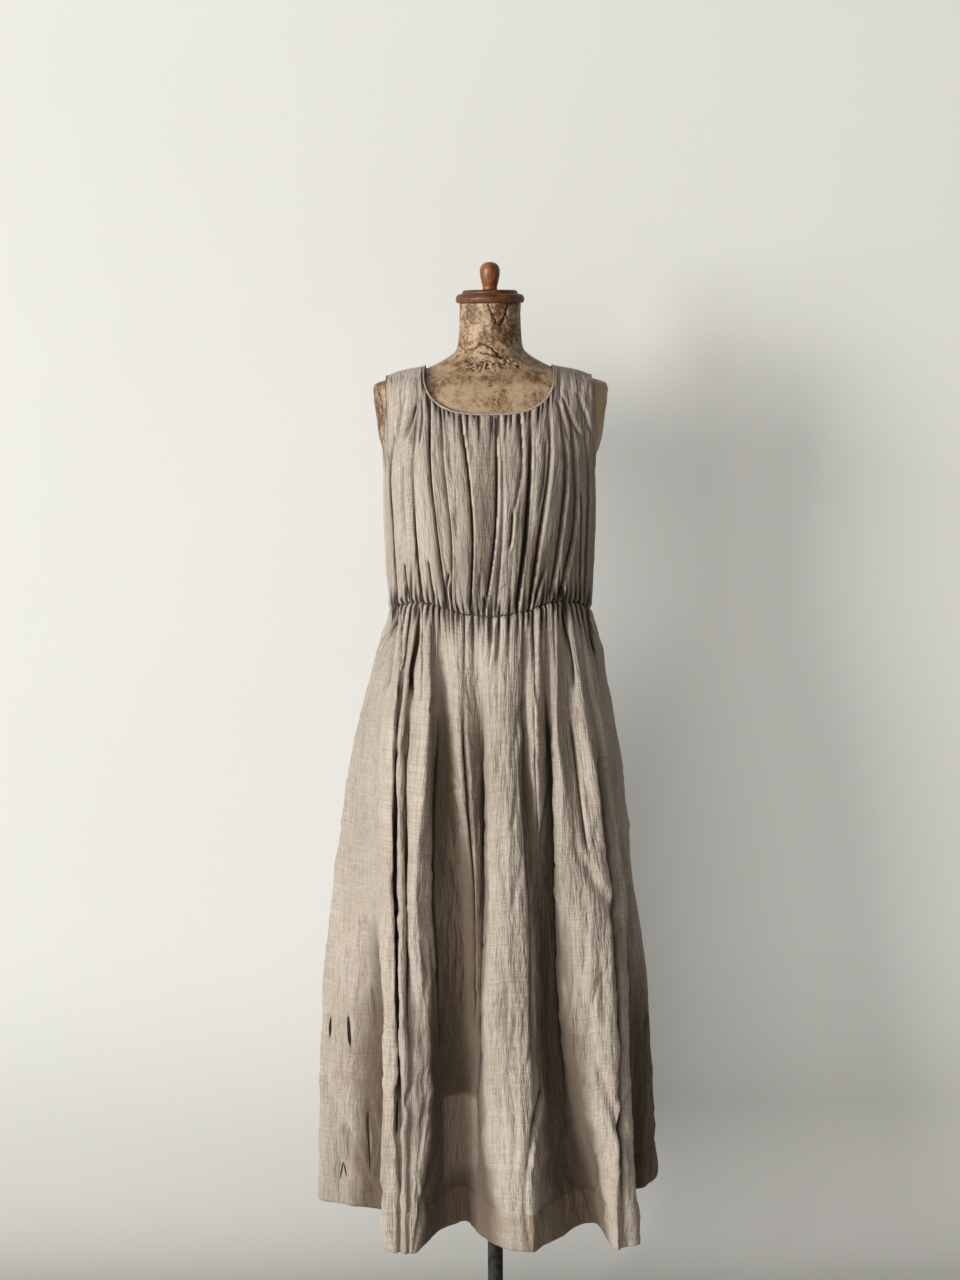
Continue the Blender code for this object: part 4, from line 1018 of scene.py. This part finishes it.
# Long folds from the neck to the waist, in millimetres: x at four heights, then at the top, in the middle
# and at the waist how deep the trough is; its half width; how far the cloth beside it stands up, and over
# what reach, to the right of the fold where that is positive.
foldHeights = (1.525, 1.460, 1.350, 1.240)
foldDepthHeights = (1.525, 1.400, 1.240)
frontLongFolds = {
    "left side": (-130, -146, -145, -141, 0, 3, 4, 3.0, 1.5, 9),
    "left outer": (-104, -113, -111, -102, 1, 2, 4, 3.0, 1.2, 10),
    "left deep": (-87, -88, -78, -65, 3, 6, 5, 2.4, 2.6, 10),
    "left ridge": (-70, -67, -58, -57, 1, 2, 2, 2.0, 2.2, 6),
    "left inner": (-43, -34, -26, -30, 3, 4, 4, 2.2, 2.2, 9),
    "centre": (9, 10, 7, -8, 5, 5, 2, 2.2, 2.4, 7),
    "centre edge": (15, 18, 17, 8, 0, 1, 2, 2.0, 1.6, 7),
    "right short": (44, 47, 42, 38, 4, 0, 0, 2.4, 1.6, 8),
    "right deep": (60, 59, 53, 39, 1, 6, 7, 3.4, 2.4, 8),
    "right edge": (66, 66, 58, 46, 0, 1, 1, 2.0, 1.4, 5),
    "right line": (88, 88, 73, 57, 2, 5, 4, 2.6, 2.2, 9),
    "right outer": (104, 112, 104, 86, 1, 3, 4, 2.6, 1.6, 8),
    "right far": (118, 125, 124, 98, 0, 3, 4, 2.6, 1.6, 8),
    "right side": (136, 146, 147, 144, 0, 3, 4, 2.8, 1.2, 7),
}
backLongFolds = {
    "right side": (140, 145, 143, 138, 0, 3, 4, 2.8, 1.4, 8),
    "right far": (116, 124, 126, 120, 0, 2, 3, 2.6, 1.4, 8),
    "right outer": (84, 106, 108, 96, 2, 4, 4, 2.8, 1.8, 9),
    "right middle": (68, 84, 84, 70, 1, 2, 3, 2.2, 1.6, 8),
    "right inner": (52, 60, 56, 48, 3, 4, 5, 2.6, 2.0, 9),
    "centre right": (20, 24, 18, 14, 4, 5, 4, 2.4, 2.0, 9),
    "centre left": (-16, -12, -18, -24, 3, 4, 4, 2.6, 2.2, 8),
    "left middle": (-36, -34, -38, -42, 1, 2, 3, 2.2, 1.4, 7),
    "left inner": (-54, -58, -60, -52, 3, 5, 5, 2.6, 2.2, 9),
    "left outer": (-88, -104, -104, -90, 2, 4, 4, 2.8, 1.8, 9),
    "left far": (-110, -126, -126, -116, 0, 2, 3, 2.6, 1.4, 8),
    "left side": (-140, -146, -144, -140, 0, 3, 4, 2.8, 1.4, 8),
}

bodiceCreases = {
    "left shoulder slit": (3, 2.4, 1, 7, ((-106, 1545), (-112, 1520), (-124, 1485))),
    "left shoulder line": (2, 2.6, 0.8, 7, ((-100, 1560), (-98, 1520), (-104, 1475))),
    "left shoulder second": (1.6, 3, 0.8, 8, ((-122, 1560), (-130, 1520), (-138, 1480))),
    "light edge": (1.2, 2, 2.0, 6, ((-70, 1512), (-66, 1423), (-58, 1359), (-57, 1285))),
    "fork beside deep fold": (3, 2.4, 1.5, 7, ((-60, 1300), (-64, 1270), (-60, 1236))),
    "hollow left of inner": (2.5, 7, 0, 8, ((-46, 1400), (-48, 1330), (-44, 1262))),
    "short left of centre": (2, 2.2, 1, 6, ((-14, 1300), (-16, 1270), (-14, 1238))),
    "centre lower slit": (3, 2.4, 1.2, 6, ((-10, 1262), (-9, 1248), (-8, 1232))),
    "centre crumple": (1.4, 3, 0.8, 8, ((14, 1306), (28, 1302), (44, 1300))),
    "centre crumple low": (1.4, 3, 0.8, 8, ((12, 1268), (24, 1274), (36, 1266))),
    "right fork": (3.2, 2.4, 1.4, 7, ((33, 1392), (31, 1352), (27, 1325))),
    "right fork upper": (1.8, 2.4, 1.2, 7, ((48, 1460), (42, 1420), (34, 1380))),
    "right shoulder slit": (2.6, 2.4, 1, 7, ((106, 1556), (116, 1525), (134, 1488))),
    "right shoulder line": (2, 2.4, 1, 7, ((98, 1548), (108, 1515), (116, 1480))),
    "right shoulder second": (1.8, 2.6, 1, 7, ((126, 1560), (138, 1530), (150, 1492))),
    "right of line": (2, 3, 1, 8, ((82, 1500), (80, 1440), (70, 1380))),
    "right low slit": (3.2, 2.4, 1.2, 7, ((80, 1300), (70, 1270), (64, 1240))),
    "right lower slit": (3, 2.2, 1.2, 6, ((118, 1330), (110, 1285), (102, 1240))),
    "far right slit": (3, 2.2, 1.0, 6, ((134, 1420), (136, 1340), (134, 1260))),
    "left low slit": (3, 2.4, 1.2, 7, ((-92, 1320), (-88, 1280), (-80, 1242))),
    "left lower slit": (3, 2.4, 1.2, 7, ((-128, 1310), (-124, 1275), (-118, 1240))),
    "far left line": (1.6, 3, 0.8, 8, ((-126, 1470), (-128, 1400), (-124, 1330))),
}

# Soft hollows that lie in shade: x, z, half width and half height in millimetres, and how dark.
bodiceHollows = {
    "between the inner folds": (-8, 1385, 15, 80, 0.70),
    "under the bust": (-10, 1290, 34, 40, 0.35),
    "beside the right deep fold": (49, 1370, 12, 70, 0.65),
    "right of the centre": (28, 1450, 9, 45, 0.35),
    "left deep fold": (-76, 1330, 9, 80, 0.45),
    "left of the inner fold": (-40, 1340, 8, 70, 0.35),
    "right low": (70, 1290, 20, 50, 0.45),
    "far right": (118, 1370, 18, 110, 0.35),
    "right shoulder": (120, 1500, 12, 50, 0.30),
    "left shoulder": (-112, 1510, 7, 40, 0.35),
}

# Where the gathers are drawn together along the neckline, by x in millimetres.
neckSlits = (
    -104, -98, -91, -87, -78, -72, -66, -59, -52, -42, -32, -22, -16,
    4, 13, 25, 32, 43, 53, 60, 73, 79, 87, 94, 101,
)


def bodyPoint(rings, x, z, side):
    # Point of a stack of squared ellipses at x and z, on the front (side -1) or the back (side 1).
    half, front, back, power = ringAt(rings, z)
    depth = np.where(side < 0, front, back)
    share = np.clip(np.abs(x) / half, 0, 1)
    return np.stack([x, side * depth * (1 - share**power) ** (1 / power), z], axis=-1)


def bodyNormal(rings, point):
    # Outward direction at a point of such a stack, from how fast its equation changes.
    def level(p):
        half, front, back, power = ringAt(rings, p[..., 2])
        depth = np.where(p[..., 1] < 0, front, back)
        return np.abs(p[..., 0] / half) ** power + np.abs(p[..., 1] / depth) ** power

    steps = 2e-4 * np.eye(3)
    normal = np.stack([level(point + step) - level(point - step) for step in steps], axis=-1)
    return normal / np.linalg.norm(normal, axis=-1, keepdims=True)


def shoulderTop(halfWidth):
    rows = np.array([row for row in dressRings if row[0] >= 1.563], float)[::-1]
    return np.interp(halfWidth, rows[:, 1], rows[:, 0])


def evenly(points, shares):
    # Points of a curve at shares of its length.
    steps = np.linalg.norm(np.diff(points, axis=0), axis=1)
    length = np.concatenate([[0], np.cumsum(steps)])
    return np.stack([np.interp(shares, length / length[-1], points[:, c]) for c in range(3)], axis=-1)


def neckCurve(shares, side, inset):
    # Half the neckline, from its low centre (0) to the shoulder (1), inset from the bodice's own edge.
    half = neckHalf - inset
    low = (neckLowFront if side < 0 else neckLowBack) + inset
    top = shoulderTop(half)
    down = np.linspace(1, 0, 2000)
    x = half * (1 - down ** (2 * neckRoundness)) ** (1 / neckRoundness)
    return evenly(bodyPoint(dressRings, x, top - (top - low) * down**2, side), shares)


def armholeCurve(shares, side):
    # Half the armhole, from the shoulder (0) to the side seam (1).
    down = np.linspace(0, 1, 2000)
    z = shoulderZ + (armholeLowZ - shoulderZ) * down**2 * (3 - 2 * down)
    rows = np.array(armholeEdge, float)
    return evenly(bodyPoint(dressRings, np.interp(z, rows[:, 0], rows[:, 1]), z, side), shares)


def topOutline(angle, side):
    # Where the bodice ends above each waist angle: neckline, then shoulder, then armhole.
    size = np.abs(angle)
    neck = neckCurve(np.clip(size / neckAngle, 0, 1), side, 0)
    along = np.clip((size - neckAngle) / (shoulderAngle - neckAngle), 0, 1)
    shoulderX = neckHalf + (shoulderHalf - neckHalf) * along
    shoulder = np.stack([shoulderX, np.zeros_like(shoulderX), shoulderTop(shoulderX)], axis=-1)
    down = np.clip((size - shoulderAngle) / (90 - shoulderAngle), 0, 1)
    top = np.where((size <= shoulderAngle)[:, None], shoulder, armholeCurve(down, side))
    top = np.where((size <= neckAngle)[:, None], neck, top)
    top[:, 0] *= np.sign(angle)
    return top


def longFolds(folds, x, z, strong):
    # Troughs that run the whole height, each with a raised edge beside it, and round tubes between them.
    relief, marks = np.zeros_like(x), np.zeros_like(x)
    places = []
    for row in folds.values():
        place = smoothBetween(foldHeights[::-1], row[3::-1], z) * mm
        depth = np.interp(z, foldDepthHeights[::-1], row[6:3:-1]) * mm
        width, lift, reach = row[7] * mm, strong * row[8] * mm, row[9] * mm
        aside = x - place
        relief -= strong * depth * bell(aside, width)
        beside = aside * np.sign(reach) - 0.6 * width
        falling = np.maximum(beside, 0)
        strength = np.clip(depth / 0.003, 0.3, 1)
        relief += strength * lift * easeIn(beside / width) * np.exp(-falling / abs(reach))
        # Painted shade in each trough, and a painted highlight on the raised edge beside it.
        dark = np.clip(depth / 0.003, 0, 1) * np.exp(-((aside / width) ** 4))
        pale = strength * easeIn(beside / (0.5 * width)) * np.exp(-falling / 0.0022)
        marks = stronger(stronger(marks, dark), pale, -1)
        places.append(place)
    places = sorted(places, key=lambda place: float(place.mean()))
    for left, right in zip(places, places[1:]):
        t = np.clip((x - left) / np.maximum(right - left, 0.004), 0, 1) ** 0.8
        inside = (x > left) & (x < right)
        height = np.clip((right - left) * 0.12, 0, 0.0042)
        relief += np.where(inside, height * ((4 * t * (1 - t)) ** 0.8 - 0.6), 0)
    return relief, marks


def bodiceSurface(side, values):
    # Rows rise from the waist seam to the neckline, shoulders and armholes. Columns fan out as the angles
    # round the waist do, bowed out a little between, and follow the sides of the body near the seams.
    columns = values["columns front"] if side < 0 else values["columns back"]
    angle = np.linspace(-90, 90, columns) if side < 0 else np.linspace(90, -90, columns)
    start = np.sin(np.radians(angle))
    waistX = dressX + waistHalf * start
    depth = waistFront if side < 0 else waistBack
    waistY = side * depth * np.cos(np.radians(angle))
    bottomZ = waistSeamZ(waistX, waistY) + seamGap / 2
    shares = np.linspace(0, 1, values["rows"])
    shares = (0.55 * shares + 0.45 * easeIn(shares))[:, None]
    top = topOutline(angle, side)
    topX, topZ = top[:, 0], top[:, 2]
    z = bottomZ + (topZ - bottomZ) * (1 - (1 - shares) ** 1.5)
    straight = waistX - dressX + (topX - waistX + dressX) * shares
    bow = 0.07 * np.clip((shoulderAngle - np.abs(angle)) / 30, 0, 1)
    bowed = straight * (1 + bow * np.sin(np.pi * shares))
    half = ringAt(dressRings, z)[0]
    topHalf = ringAt(dressRings, topZ)[0]
    byShare = half * (start + (topX / topHalf - start) * shares)
    nearSeam = easeIn((np.abs(angle) - 78) / 12)
    x = np.clip(bowed + (byShare - bowed) * nearSeam, -half, half)
    onBody = bodyPoint(dressRings, x, z, side)
    onBody[-1] = top
    normal = bodyNormal(dressRings, onBody)
    flank = np.abs(angle) > 89.9
    normal[:, flank] = np.sign(angle[flank])[:, None] * np.array([1, 0, 0])

    up, down = z - bottomZ, topZ - z
    folds, slits = (frontLongFolds, waistSlitsFront) if side < 0 else (backLongFolds, waistSlitsBack)
    toSeam = 90 - np.abs(angle)
    away = easeIn(down / 0.030) * easeIn(toSeam / 6)
    neckward = easeIn((neckAngle + 2 - np.abs(angle)) / 6)
    relief, marks = longFolds(folds, x, z, values["fold strength"])
    fade = neckward * easeIn(down / 0.008 + 0.35) + (1 - neckward) * away
    relief, marks = relief * fade, marks * fade
    # The painted shade of the folds is weaker at the right, and on the back.
    marks = marks * ((1 - 0.45 * easeIn((x - 0.045) / 0.05)) if side < 0 else 0.55)
    own = bodiceCreases if side < 0 else likeCreases(51, 30, -140, 140, 1245, 1540, 0.7)
    creases = creaseRelief(x, z, own, values["fold strength"], marks)
    relief += creases * easeIn(toSeam / 8) * easeIn(down / 0.02)
    relief += values["crumple"] * crumple(x + 0.3, z * 0.35, 0.018, 61 + side) * easeIn(down / 0.03)
    relief = relief * easeIn(toSeam / 3) * easeIn(up / 0.02)
    places, heights, reaches = puffTable(slits, 7 + side, values["puff height"])
    allX = np.broadcast_to(waistX, z.shape)
    gathered = np.zeros_like(z)
    puffs = tubes(allX, places, heights, 0.8 * reaches, np.maximum(up - 0.004, 0), gathered)
    relief += puffs * easeIn(up / 0.005)
    relief += seamPucker(allX, side, up, 5 if side < 0 else 6)
    gathered = np.maximum(gathered, seamShade(allX, up, 71 + side)) * offSeams(allX)
    places, heights, reaches = puffTable(neckSlits, 17 + side, values["neck puff height"])
    allTop = np.broadcast_to(topX, z.shape)
    atNeck, inNeck = np.zeros_like(z), easeIn((neckAngle - np.abs(angle)) / 4)
    neckPuffs = tubes(allTop, places, heights, 0.4 * reaches, down, atNeck, 0.9) * inNeck
    gathered = np.maximum(gathered, atNeck * inNeck) * (1 if side < 0 else backMarks)
    marks = stronger(marks, gathered)
    relief += neckPuffs * easeIn(down / 0.002 + 0.4)
    # The armhole's edge is rolled and sewn down.
    armward = easeIn((np.abs(angle) - shoulderAngle + 1) / 2)
    relief += armward * 0.0009 * (easeIn(1 - down / 0.007) - 1.6 * bell(down - 0.0085, 0.0016))
    # No hollow reaches the form, which lies close below the neckline.
    deepest = -0.0105 + 0.0080 * neckward * easeIn((0.080 - down) / 0.055)
    relief = np.maximum(relief, deepest)
    points = onBody + normal * relief[..., None]
    points[..., 0] += dressX
    points[:, flank, 1] = side * seamGap / 2
    # Painted shade along the rolled armhole edge, where the cloth is double.
    layers = 0.12 * armward * easeIn(1 - down / 0.008)
    # Painted shade under the bust, which overhangs the lower part, and at the right, where the cloth turns
    # away.
    sunken = 0.26 * easeIn((x + 0.02) / 0.14) + 0.16 * easeIn((x + 0.10) / 0.10) * easeIn((1.40 - z) / 0.10)
    for hollowX, hollowZ, halfWidth, halfHeight, dark in bodiceHollows.values():
        apart = ((x / mm - hollowX) / halfWidth) ** 2 + ((z / mm - hollowZ) / halfHeight) ** 2
        sunken += dark * np.exp(-apart) * (side < 0)
    return points[::-1], {"layers": layers[::-1], "crease": marks[::-1], "sunken": sunken[::-1]}


def addBodice(values):
    made = []
    for name, side in (("bodice_front_cloth", -1), ("bodice_back_cloth", 1)):
        points, marks = bodiceSurface(side, values)
        piece = gridMesh(name, points, flatPlaces(points, values["rows"] // 2), linen, marks)
        made.append(thicken(piece, values["wall"]))
    return made


bodiceFront, bodiceBack = addBodice(bodiceValues)
print("the bodice is on the form", clothArea(bodiceFront), clothArea(bodiceBack))


# The neck binding

bindingValues = {
    "width": 0.0038,
    "wall": 0.0013,
    "gap": 0.0003,
    "points": 130,
    "round": 12,
    "pucker": 0.0003,
    "sunk": 0.0003,
}


def addBinding(values):
    # A narrow strip folded over the neckline: a rounded flat tube along the closed curve.
    rising = np.linspace(0, 1, values["points"] + 1)
    quarters = []
    for side, sign in ((-1, 1), (1, 1), (1, -1), (-1, -1)):
        edge = neckCurve(rising, side, values["width"])
        seam = neckCurve(rising, side, 0)
        across = (edge - seam) / np.linalg.norm(edge - seam, axis=-1, keepdims=True)
        up = bodyNormal(dressRings, seam)
        mirror = np.array([sign, 1, 1])
        pair = np.stack([seam + across * values["gap"], across, up]) * mirror
        upward = side * sign < 0
        quarters.append(pair[:, :-1] if upward else pair[:, :0:-1])
    foot, across, up = np.concatenate(quarters, axis=1)
    foot[:, 0] += dressX
    turn = np.linspace(0, 2 * np.pi, values["round"], endpoint=False)[:, None, None]
    wide, thick = values["width"] - values["gap"], values["wall"]
    along = np.arange(len(foot)) / 5
    pucker = values["pucker"] * softNoise(along, along * 0, 71)[:, None]
    squareCos = np.sign(np.cos(turn)) * np.abs(np.cos(turn)) ** 0.5
    squareSin = np.sign(np.sin(turn)) * np.abs(np.sin(turn)) ** 0.7
    points = foot + across * (wide / 2) * (1 - squareCos)
    points = points + up * (-values["sunk"] + pucker + thick / 2 * squareSin)
    points = points.transpose(1, 0, 2)
    points = np.concatenate([points, points[:1]])
    flat = together(np.linspace(0, 0.02, values["round"] + 1), np.arange(len(points))[:, None] * 0.0015)
    return gridMesh("neck_binding_cloth", points[:, ::-1], flat, linen, closed=True)


binding = addBinding(bindingValues)


# The pocket bags

pocketValues = {
    "wall": 0.0009,
    "top": 1.175,
    "seam low": 1.020,
    "low": 0.868,
    "rows": 60,
    "columns": 70,
    "level row": 30,
}

# Plan of the pocket bags as they hang inside the skirt: height, half width, front depth.
pocketRings = (
    (0.860, 0.1740, 0.1150),
    (1.020, 0.1680, 0.1130),
    (1.100, 0.1560, 0.1090),
    (1.180, 0.1440, 0.1020),
)


def addPockets(values):
    # Flat bags that hang inside the skirt from its side seams.
    made = []
    for name, column, sign, reach in (
        ("left_pocket_bag", 0, -1, 0.032),
        ("right_pocket_bag", skirtSeam, 1, 0.076),
    ):
        down = np.linspace(0, 1, values["rows"])[:, None]
        across = np.linspace(0, 1, values["columns"])[None, :]
        seamZ = values["top"] + (values["seam low"] - values["top"]) * down
        frontZ = values["top"] + (values["low"] - values["top"]) * down
        z = seamZ + (frontZ - seamZ) * np.sin(np.pi / 2 * np.clip(across / 0.55, 0, 1))
        half, depth = ringAt(pocketRings, z)
        start = half * 0.995
        x = start + (reach - start) * across * (1 - 0.12 * down**3 * across**2)
        y = -depth * np.sqrt(np.maximum(1 - (x / half) ** 2, 0))
        y = y + 0.0012 * softNoise(x / 0.02, z / 0.06, 81)
        hanging = np.stack([sign * x, y, z], axis=-1)
        # Along its outer edge the bag is drawn to the skirt's side seam.
        side = skirtPoints[:, column]
        side = side[np.argsort(side[:, 2])]
        join = np.clip(1 - across / 0.12, 0, 1) * np.ones_like(z)
        hanging[..., 0] += (np.interp(z, side[:, 2], side[:, 0]) - sign * 0.0022 - hanging[..., 0]) * join
        hanging[..., 1] += (np.interp(z, side[:, 2], side[:, 1]) - 0.0035 - hanging[..., 1]) * join
        points = hanging if sign < 0 else hanging[:, ::-1]
        # The bags get a little painted shade, as double cloth.
        layers = {"layers": np.full(z.shape, 0.1)}
        piece = gridMesh(name, points, flatPlaces(points, values["level row"]), linen, layers)
        made.append(thicken(piece, values["wall"]))
    return made


leftPocket, rightPocket = addPockets(pocketValues)
print("binding and pockets are sewn on", clothArea(leftPocket), clothArea(rightPocket))


# The dress form

formValues = {
    "columns": 264,
    "pitting": 0.0005,
    "lumps": 0.0022,
    "crack depth": 0.0009,
}

# Sections of the form: height, half width, front depth, back depth, squareness.
formRings = (
    (0.920, 0.1180, 0.0880, 0.0900, 2.00),
    (0.931, 0.1270, 0.0960, 0.0990, 2.00),
    (0.960, 0.1330, 0.1010, 0.1070, 2.00),
    (1.020, 0.1350, 0.1020, 0.1110, 2.00),
    (1.090, 0.1290, 0.0980, 0.1010, 2.00),
    (1.160, 0.1180, 0.0910, 0.0860, 2.00),
    (1.225, 0.1120, 0.0870, 0.0780, 2.00),
    (1.290, 0.1200, 0.0950, 0.0820, 2.00),
    (1.350, 0.1330, 0.1070, 0.0880, 2.10),
    (1.400, 0.1420, 0.1110, 0.0930, 2.20),
    (1.440, 0.1500, 0.1090, 0.0970, 2.30),
    (1.455, 0.1560, 0.1070, 0.0980, 2.40),
    (1.466, 0.1620, 0.1050, 0.0985, 2.45),
    (1.482, 0.1665, 0.1015, 0.0980, 2.50),
    (1.510, 0.1710, 0.0930, 0.0950, 2.60),
    (1.530, 0.1735, 0.0860, 0.0905, 2.60),
    (1.550, 0.1755, 0.0790, 0.0850, 2.60),
    (1.561, 0.1755, 0.0745, 0.0805, 2.50),
    (1.568, 0.1700, 0.0710, 0.0765, 2.40),
    (1.5725, 0.1550, 0.0685, 0.0730, 2.30),
    (1.578, 0.1400, 0.0655, 0.0695, 2.10),
    (1.583, 0.1237, 0.0630, 0.0665, 2.00),
    (1.586, 0.1060, 0.0605, 0.0635, 2.00),
    (1.588, 0.0985, 0.0595, 0.0620, 2.00),
    (1.593, 0.0865, 0.0570, 0.0590, 2.00),
    (1.598, 0.0765, 0.0550, 0.0562, 2.00),
    (1.604, 0.0655, 0.0530, 0.0536, 2.00),
    (1.610, 0.0565, 0.0508, 0.0512, 2.00),
    (1.616, 0.0512, 0.0488, 0.0490, 2.00),
    (1.624, 0.0483, 0.0472, 0.0474, 2.00),
    (1.640, 0.0463, 0.0460, 0.0460, 2.00),
    (1.665, 0.0455, 0.0455, 0.0455, 2.00),
    (1.6845, 0.0455, 0.0455, 0.0455, 2.00),
)

# Cracks in the front of the neck, the chest and the left stump: width, then points (x, z), in millimetres.
formCracks = {
    "horseshoe": (1.8, (
        (-3, 1683), (2, 1670), (6, 1660), (10, 1653), (14, 1652), (18, 1658), (22, 1668), (25, 1680),
    )),
    "upper crack": (1.7, ((-21, 1619), (-16, 1626), (-8, 1625), (-1, 1620), (8, 1612), (15, 1604))),
    "lower crack": (1.2, ((-15, 1613), (-4, 1610), (6, 1608), (18, 1606))),
    "chest crack": (1.2, ((1, 1566), (4, 1560), (2, 1553))),
    "stump crack": (1.0, ((-168, 1560), (-163, 1545), (-160, 1525))),
    "stump crack low": (0.9, ((-172, 1535), (-165, 1520), (-166, 1500))),
}


def addTorso(values):
    z = np.concatenate([
        np.linspace(0.920, 1.43, 40, endpoint=False),
        np.linspace(1.43, 1.575, 70, endpoint=False),
        np.linspace(1.575, 1.6845, 88),
    ])[::-1, None]
    angle = np.linspace(0, 2 * np.pi, values["columns"], endpoint=False)[None, :]
    half, front, back, power = ringAt(formRings, z)
    sine, cosine = np.sin(angle), -np.cos(angle)
    depth = np.where(cosine < 0, front, back)
    x = half * np.sign(sine) * np.abs(sine) ** (2 / power)
    y = depth * np.sign(cosine) * np.abs(cosine) ** (2 / power)
    z = z + 0 * x
    outward = np.stack([x / half**2, y / depth**2], axis=-1)
    outward /= np.linalg.norm(outward, axis=-1, keepdims=True)
    girth = angle * 0.09 + 0 * x
    crack = np.zeros_like(x)
    for width, points in formCracks.values():
        line = np.array(points, float) * mm
        for (x0, z0), (x1, z1) in zip(line, line[1:]):
            span = (x1 - x0) ** 2 + (z1 - z0) ** 2
            share = np.clip(((x - x0) * (x1 - x0) + (z - z0) * (z1 - z0)) / span, 0, 1)
            wobble = 0.0012 * softNoise(z / 0.004, x / 0.004, 91)
            gap = np.hypot(x - x0 - share * (x1 - x0) + wobble, z - z0 - share * (z1 - z0) + wobble)
            crack = np.maximum(crack, bell(gap, width * mm) * (y < 0))
    # Where the neck meets the shoulders the paper has lifted in small lumps.
    band = bell(z - 1.5945, 0.0115) * easeIn((0.056 - np.abs(x + 0.002)) / 0.02) * (y < 0)
    lumps = crumple(girth * 1.3, z, 0.010, 95) * band
    flaked = np.abs(softNoise(girth / 0.0055, z / 0.0042, 97) + 0.3 * softNoise(girth / 0.002, z / 0.002, 98))
    crack = np.maximum(crack, easeIn((0.20 - flaked) / 0.12) * easeIn(1.6 * band - 0.35))
    pits = softNoise(girth / 0.012, z / 0.012, 93) + 0.5 * softNoise(girth / 0.005, z / 0.005, 94)
    relief = values["pitting"] * pits + values["lumps"] * lumps - values["crack depth"] * crack
    points = np.stack([x + outward[..., 0] * relief, y + outward[..., 1] * relief, z], axis=-1)
    below = bell(z - 1.576, 0.010) * easeIn((0.055 - np.abs(x)) / 0.03) * (y < 0)
    stain = 0.05 * band + 0.16 * below - 0.06 * easeIn((1.58 - z) / 0.02) + 0.20 * easeIn((z - 1.612) / 0.02)
    stain = stain + 0.25 * easeIn((-0.148 - x) / 0.01) - 0.20 * easeIn((x - 0.148) / 0.01)
    # Closed above and below by rings that shrink to the axis.
    small, middle = np.array([0.001, 0.001, 1]), np.array([0.5, 0.5, 1])
    top, bottom = points[:1], points[-1:]
    points = np.concatenate([top * small, top * middle, points, bottom * middle, bottom * small])
    edge = np.zeros((2, x.shape[1]))
    marks = {"crack": np.concatenate([edge, crack, edge]), "stain": np.concatenate([edge, stain, edge])}
    flat = together(np.linspace(0, 0.9, x.shape[1] + 1), -points[:, :1, 2])
    return gridMesh("paper_torso", points, flat, paper, marks, closed=True)


torso = addTorso(formValues)


# The turned cap and its knob

turnedValues = {
    "columns": 72,
    "steps": 7,
}

# Radius and height along each outline, from the top down, in millimetres.
capOutline = (
    (0.4, 1704.4), (18, 1704.4), (36, 1704.0), (39.8, 1702.8), (41.2, 1700.6), (41.6, 1699.0),
    (43.6, 1698.4), (48.2, 1697.0), (50.6, 1693.8), (51.2, 1690.4), (50.4, 1686.8), (48.4, 1685.1),
    (45.0, 1684.8), (20, 1684.8), (0.4, 1684.8),
)
knobOutline = (
    (0.3, 1745.4), (4.5, 1744.9), (9.0, 1743.2), (12.6, 1739.8), (14.6, 1735.0), (14.9, 1729.0),
    (14.0, 1722.0), (12.4, 1715.0), (10.9, 1709.0), (10.2, 1704.7), (5.0, 1704.6), (0.3, 1704.6),
)


def addTurned(name, outline, values, finish):
    # The outline, eased from point to point, is spun round the axis: x = r sin a, y = -r cos a.
    rows = np.array(outline, float) * mm
    at = np.linspace(0, len(rows) - 1, (len(rows) - 1) * values["steps"] + 1)
    radius, height = smoothBetween(np.arange(len(rows)), rows, at).T[..., None]
    angle = np.linspace(0, 2 * np.pi, values["columns"], endpoint=False)
    points = together(radius * np.sin(angle), -radius * np.cos(angle), height)
    flat = together(np.linspace(0, 0.2, values["columns"] + 1), at[:, None] * 0.003)
    return gridMesh(name, points, flat, finish, closed=True)


capWood = woodFinish("cap wood", (0.205, 0.088, 0.034, 1), (0.085, 0.033, 0.014, 1), (25, 160, 160), 0.38)
knobWood = woodFinish("knob wood", (0.320, 0.140, 0.044, 1), (0.160, 0.060, 0.018, 1), (200, 200, 30), 0.28)
iron = ironFinish("dark iron")
for node in ("stand_pole", "stand_base"):
    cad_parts[node].material_slots[0].material = iron
turnedCap = addTurned("turned_cap", capOutline, turnedValues, capWood)
turnedKnob = addTurned("turned_knob", knobOutline, turnedValues, knobWood)
print("the form and its stand are finished")

# What each new piece stands for

for piece, node, slot in (
    (skirtFront, "skirt_front", "linen"),
    (skirtBack, "skirt_back", "linen"),
    (bodiceFront, "bodice_front", "linen"),
    (bodiceBack, "bodice_back", "linen"),
    (binding, "neck_binding", "linen"),
    (leftPocket, "pocket_left", "linen"),
    (rightPocket, "pocket_right", "linen"),
    (torso, "form_torso", "papier_mache"),
    (turnedCap, "form_cap", "cap_wood"),
    (turnedKnob, "form_knob", "knob_wood"),
):
    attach(piece, "root")
    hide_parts(node)
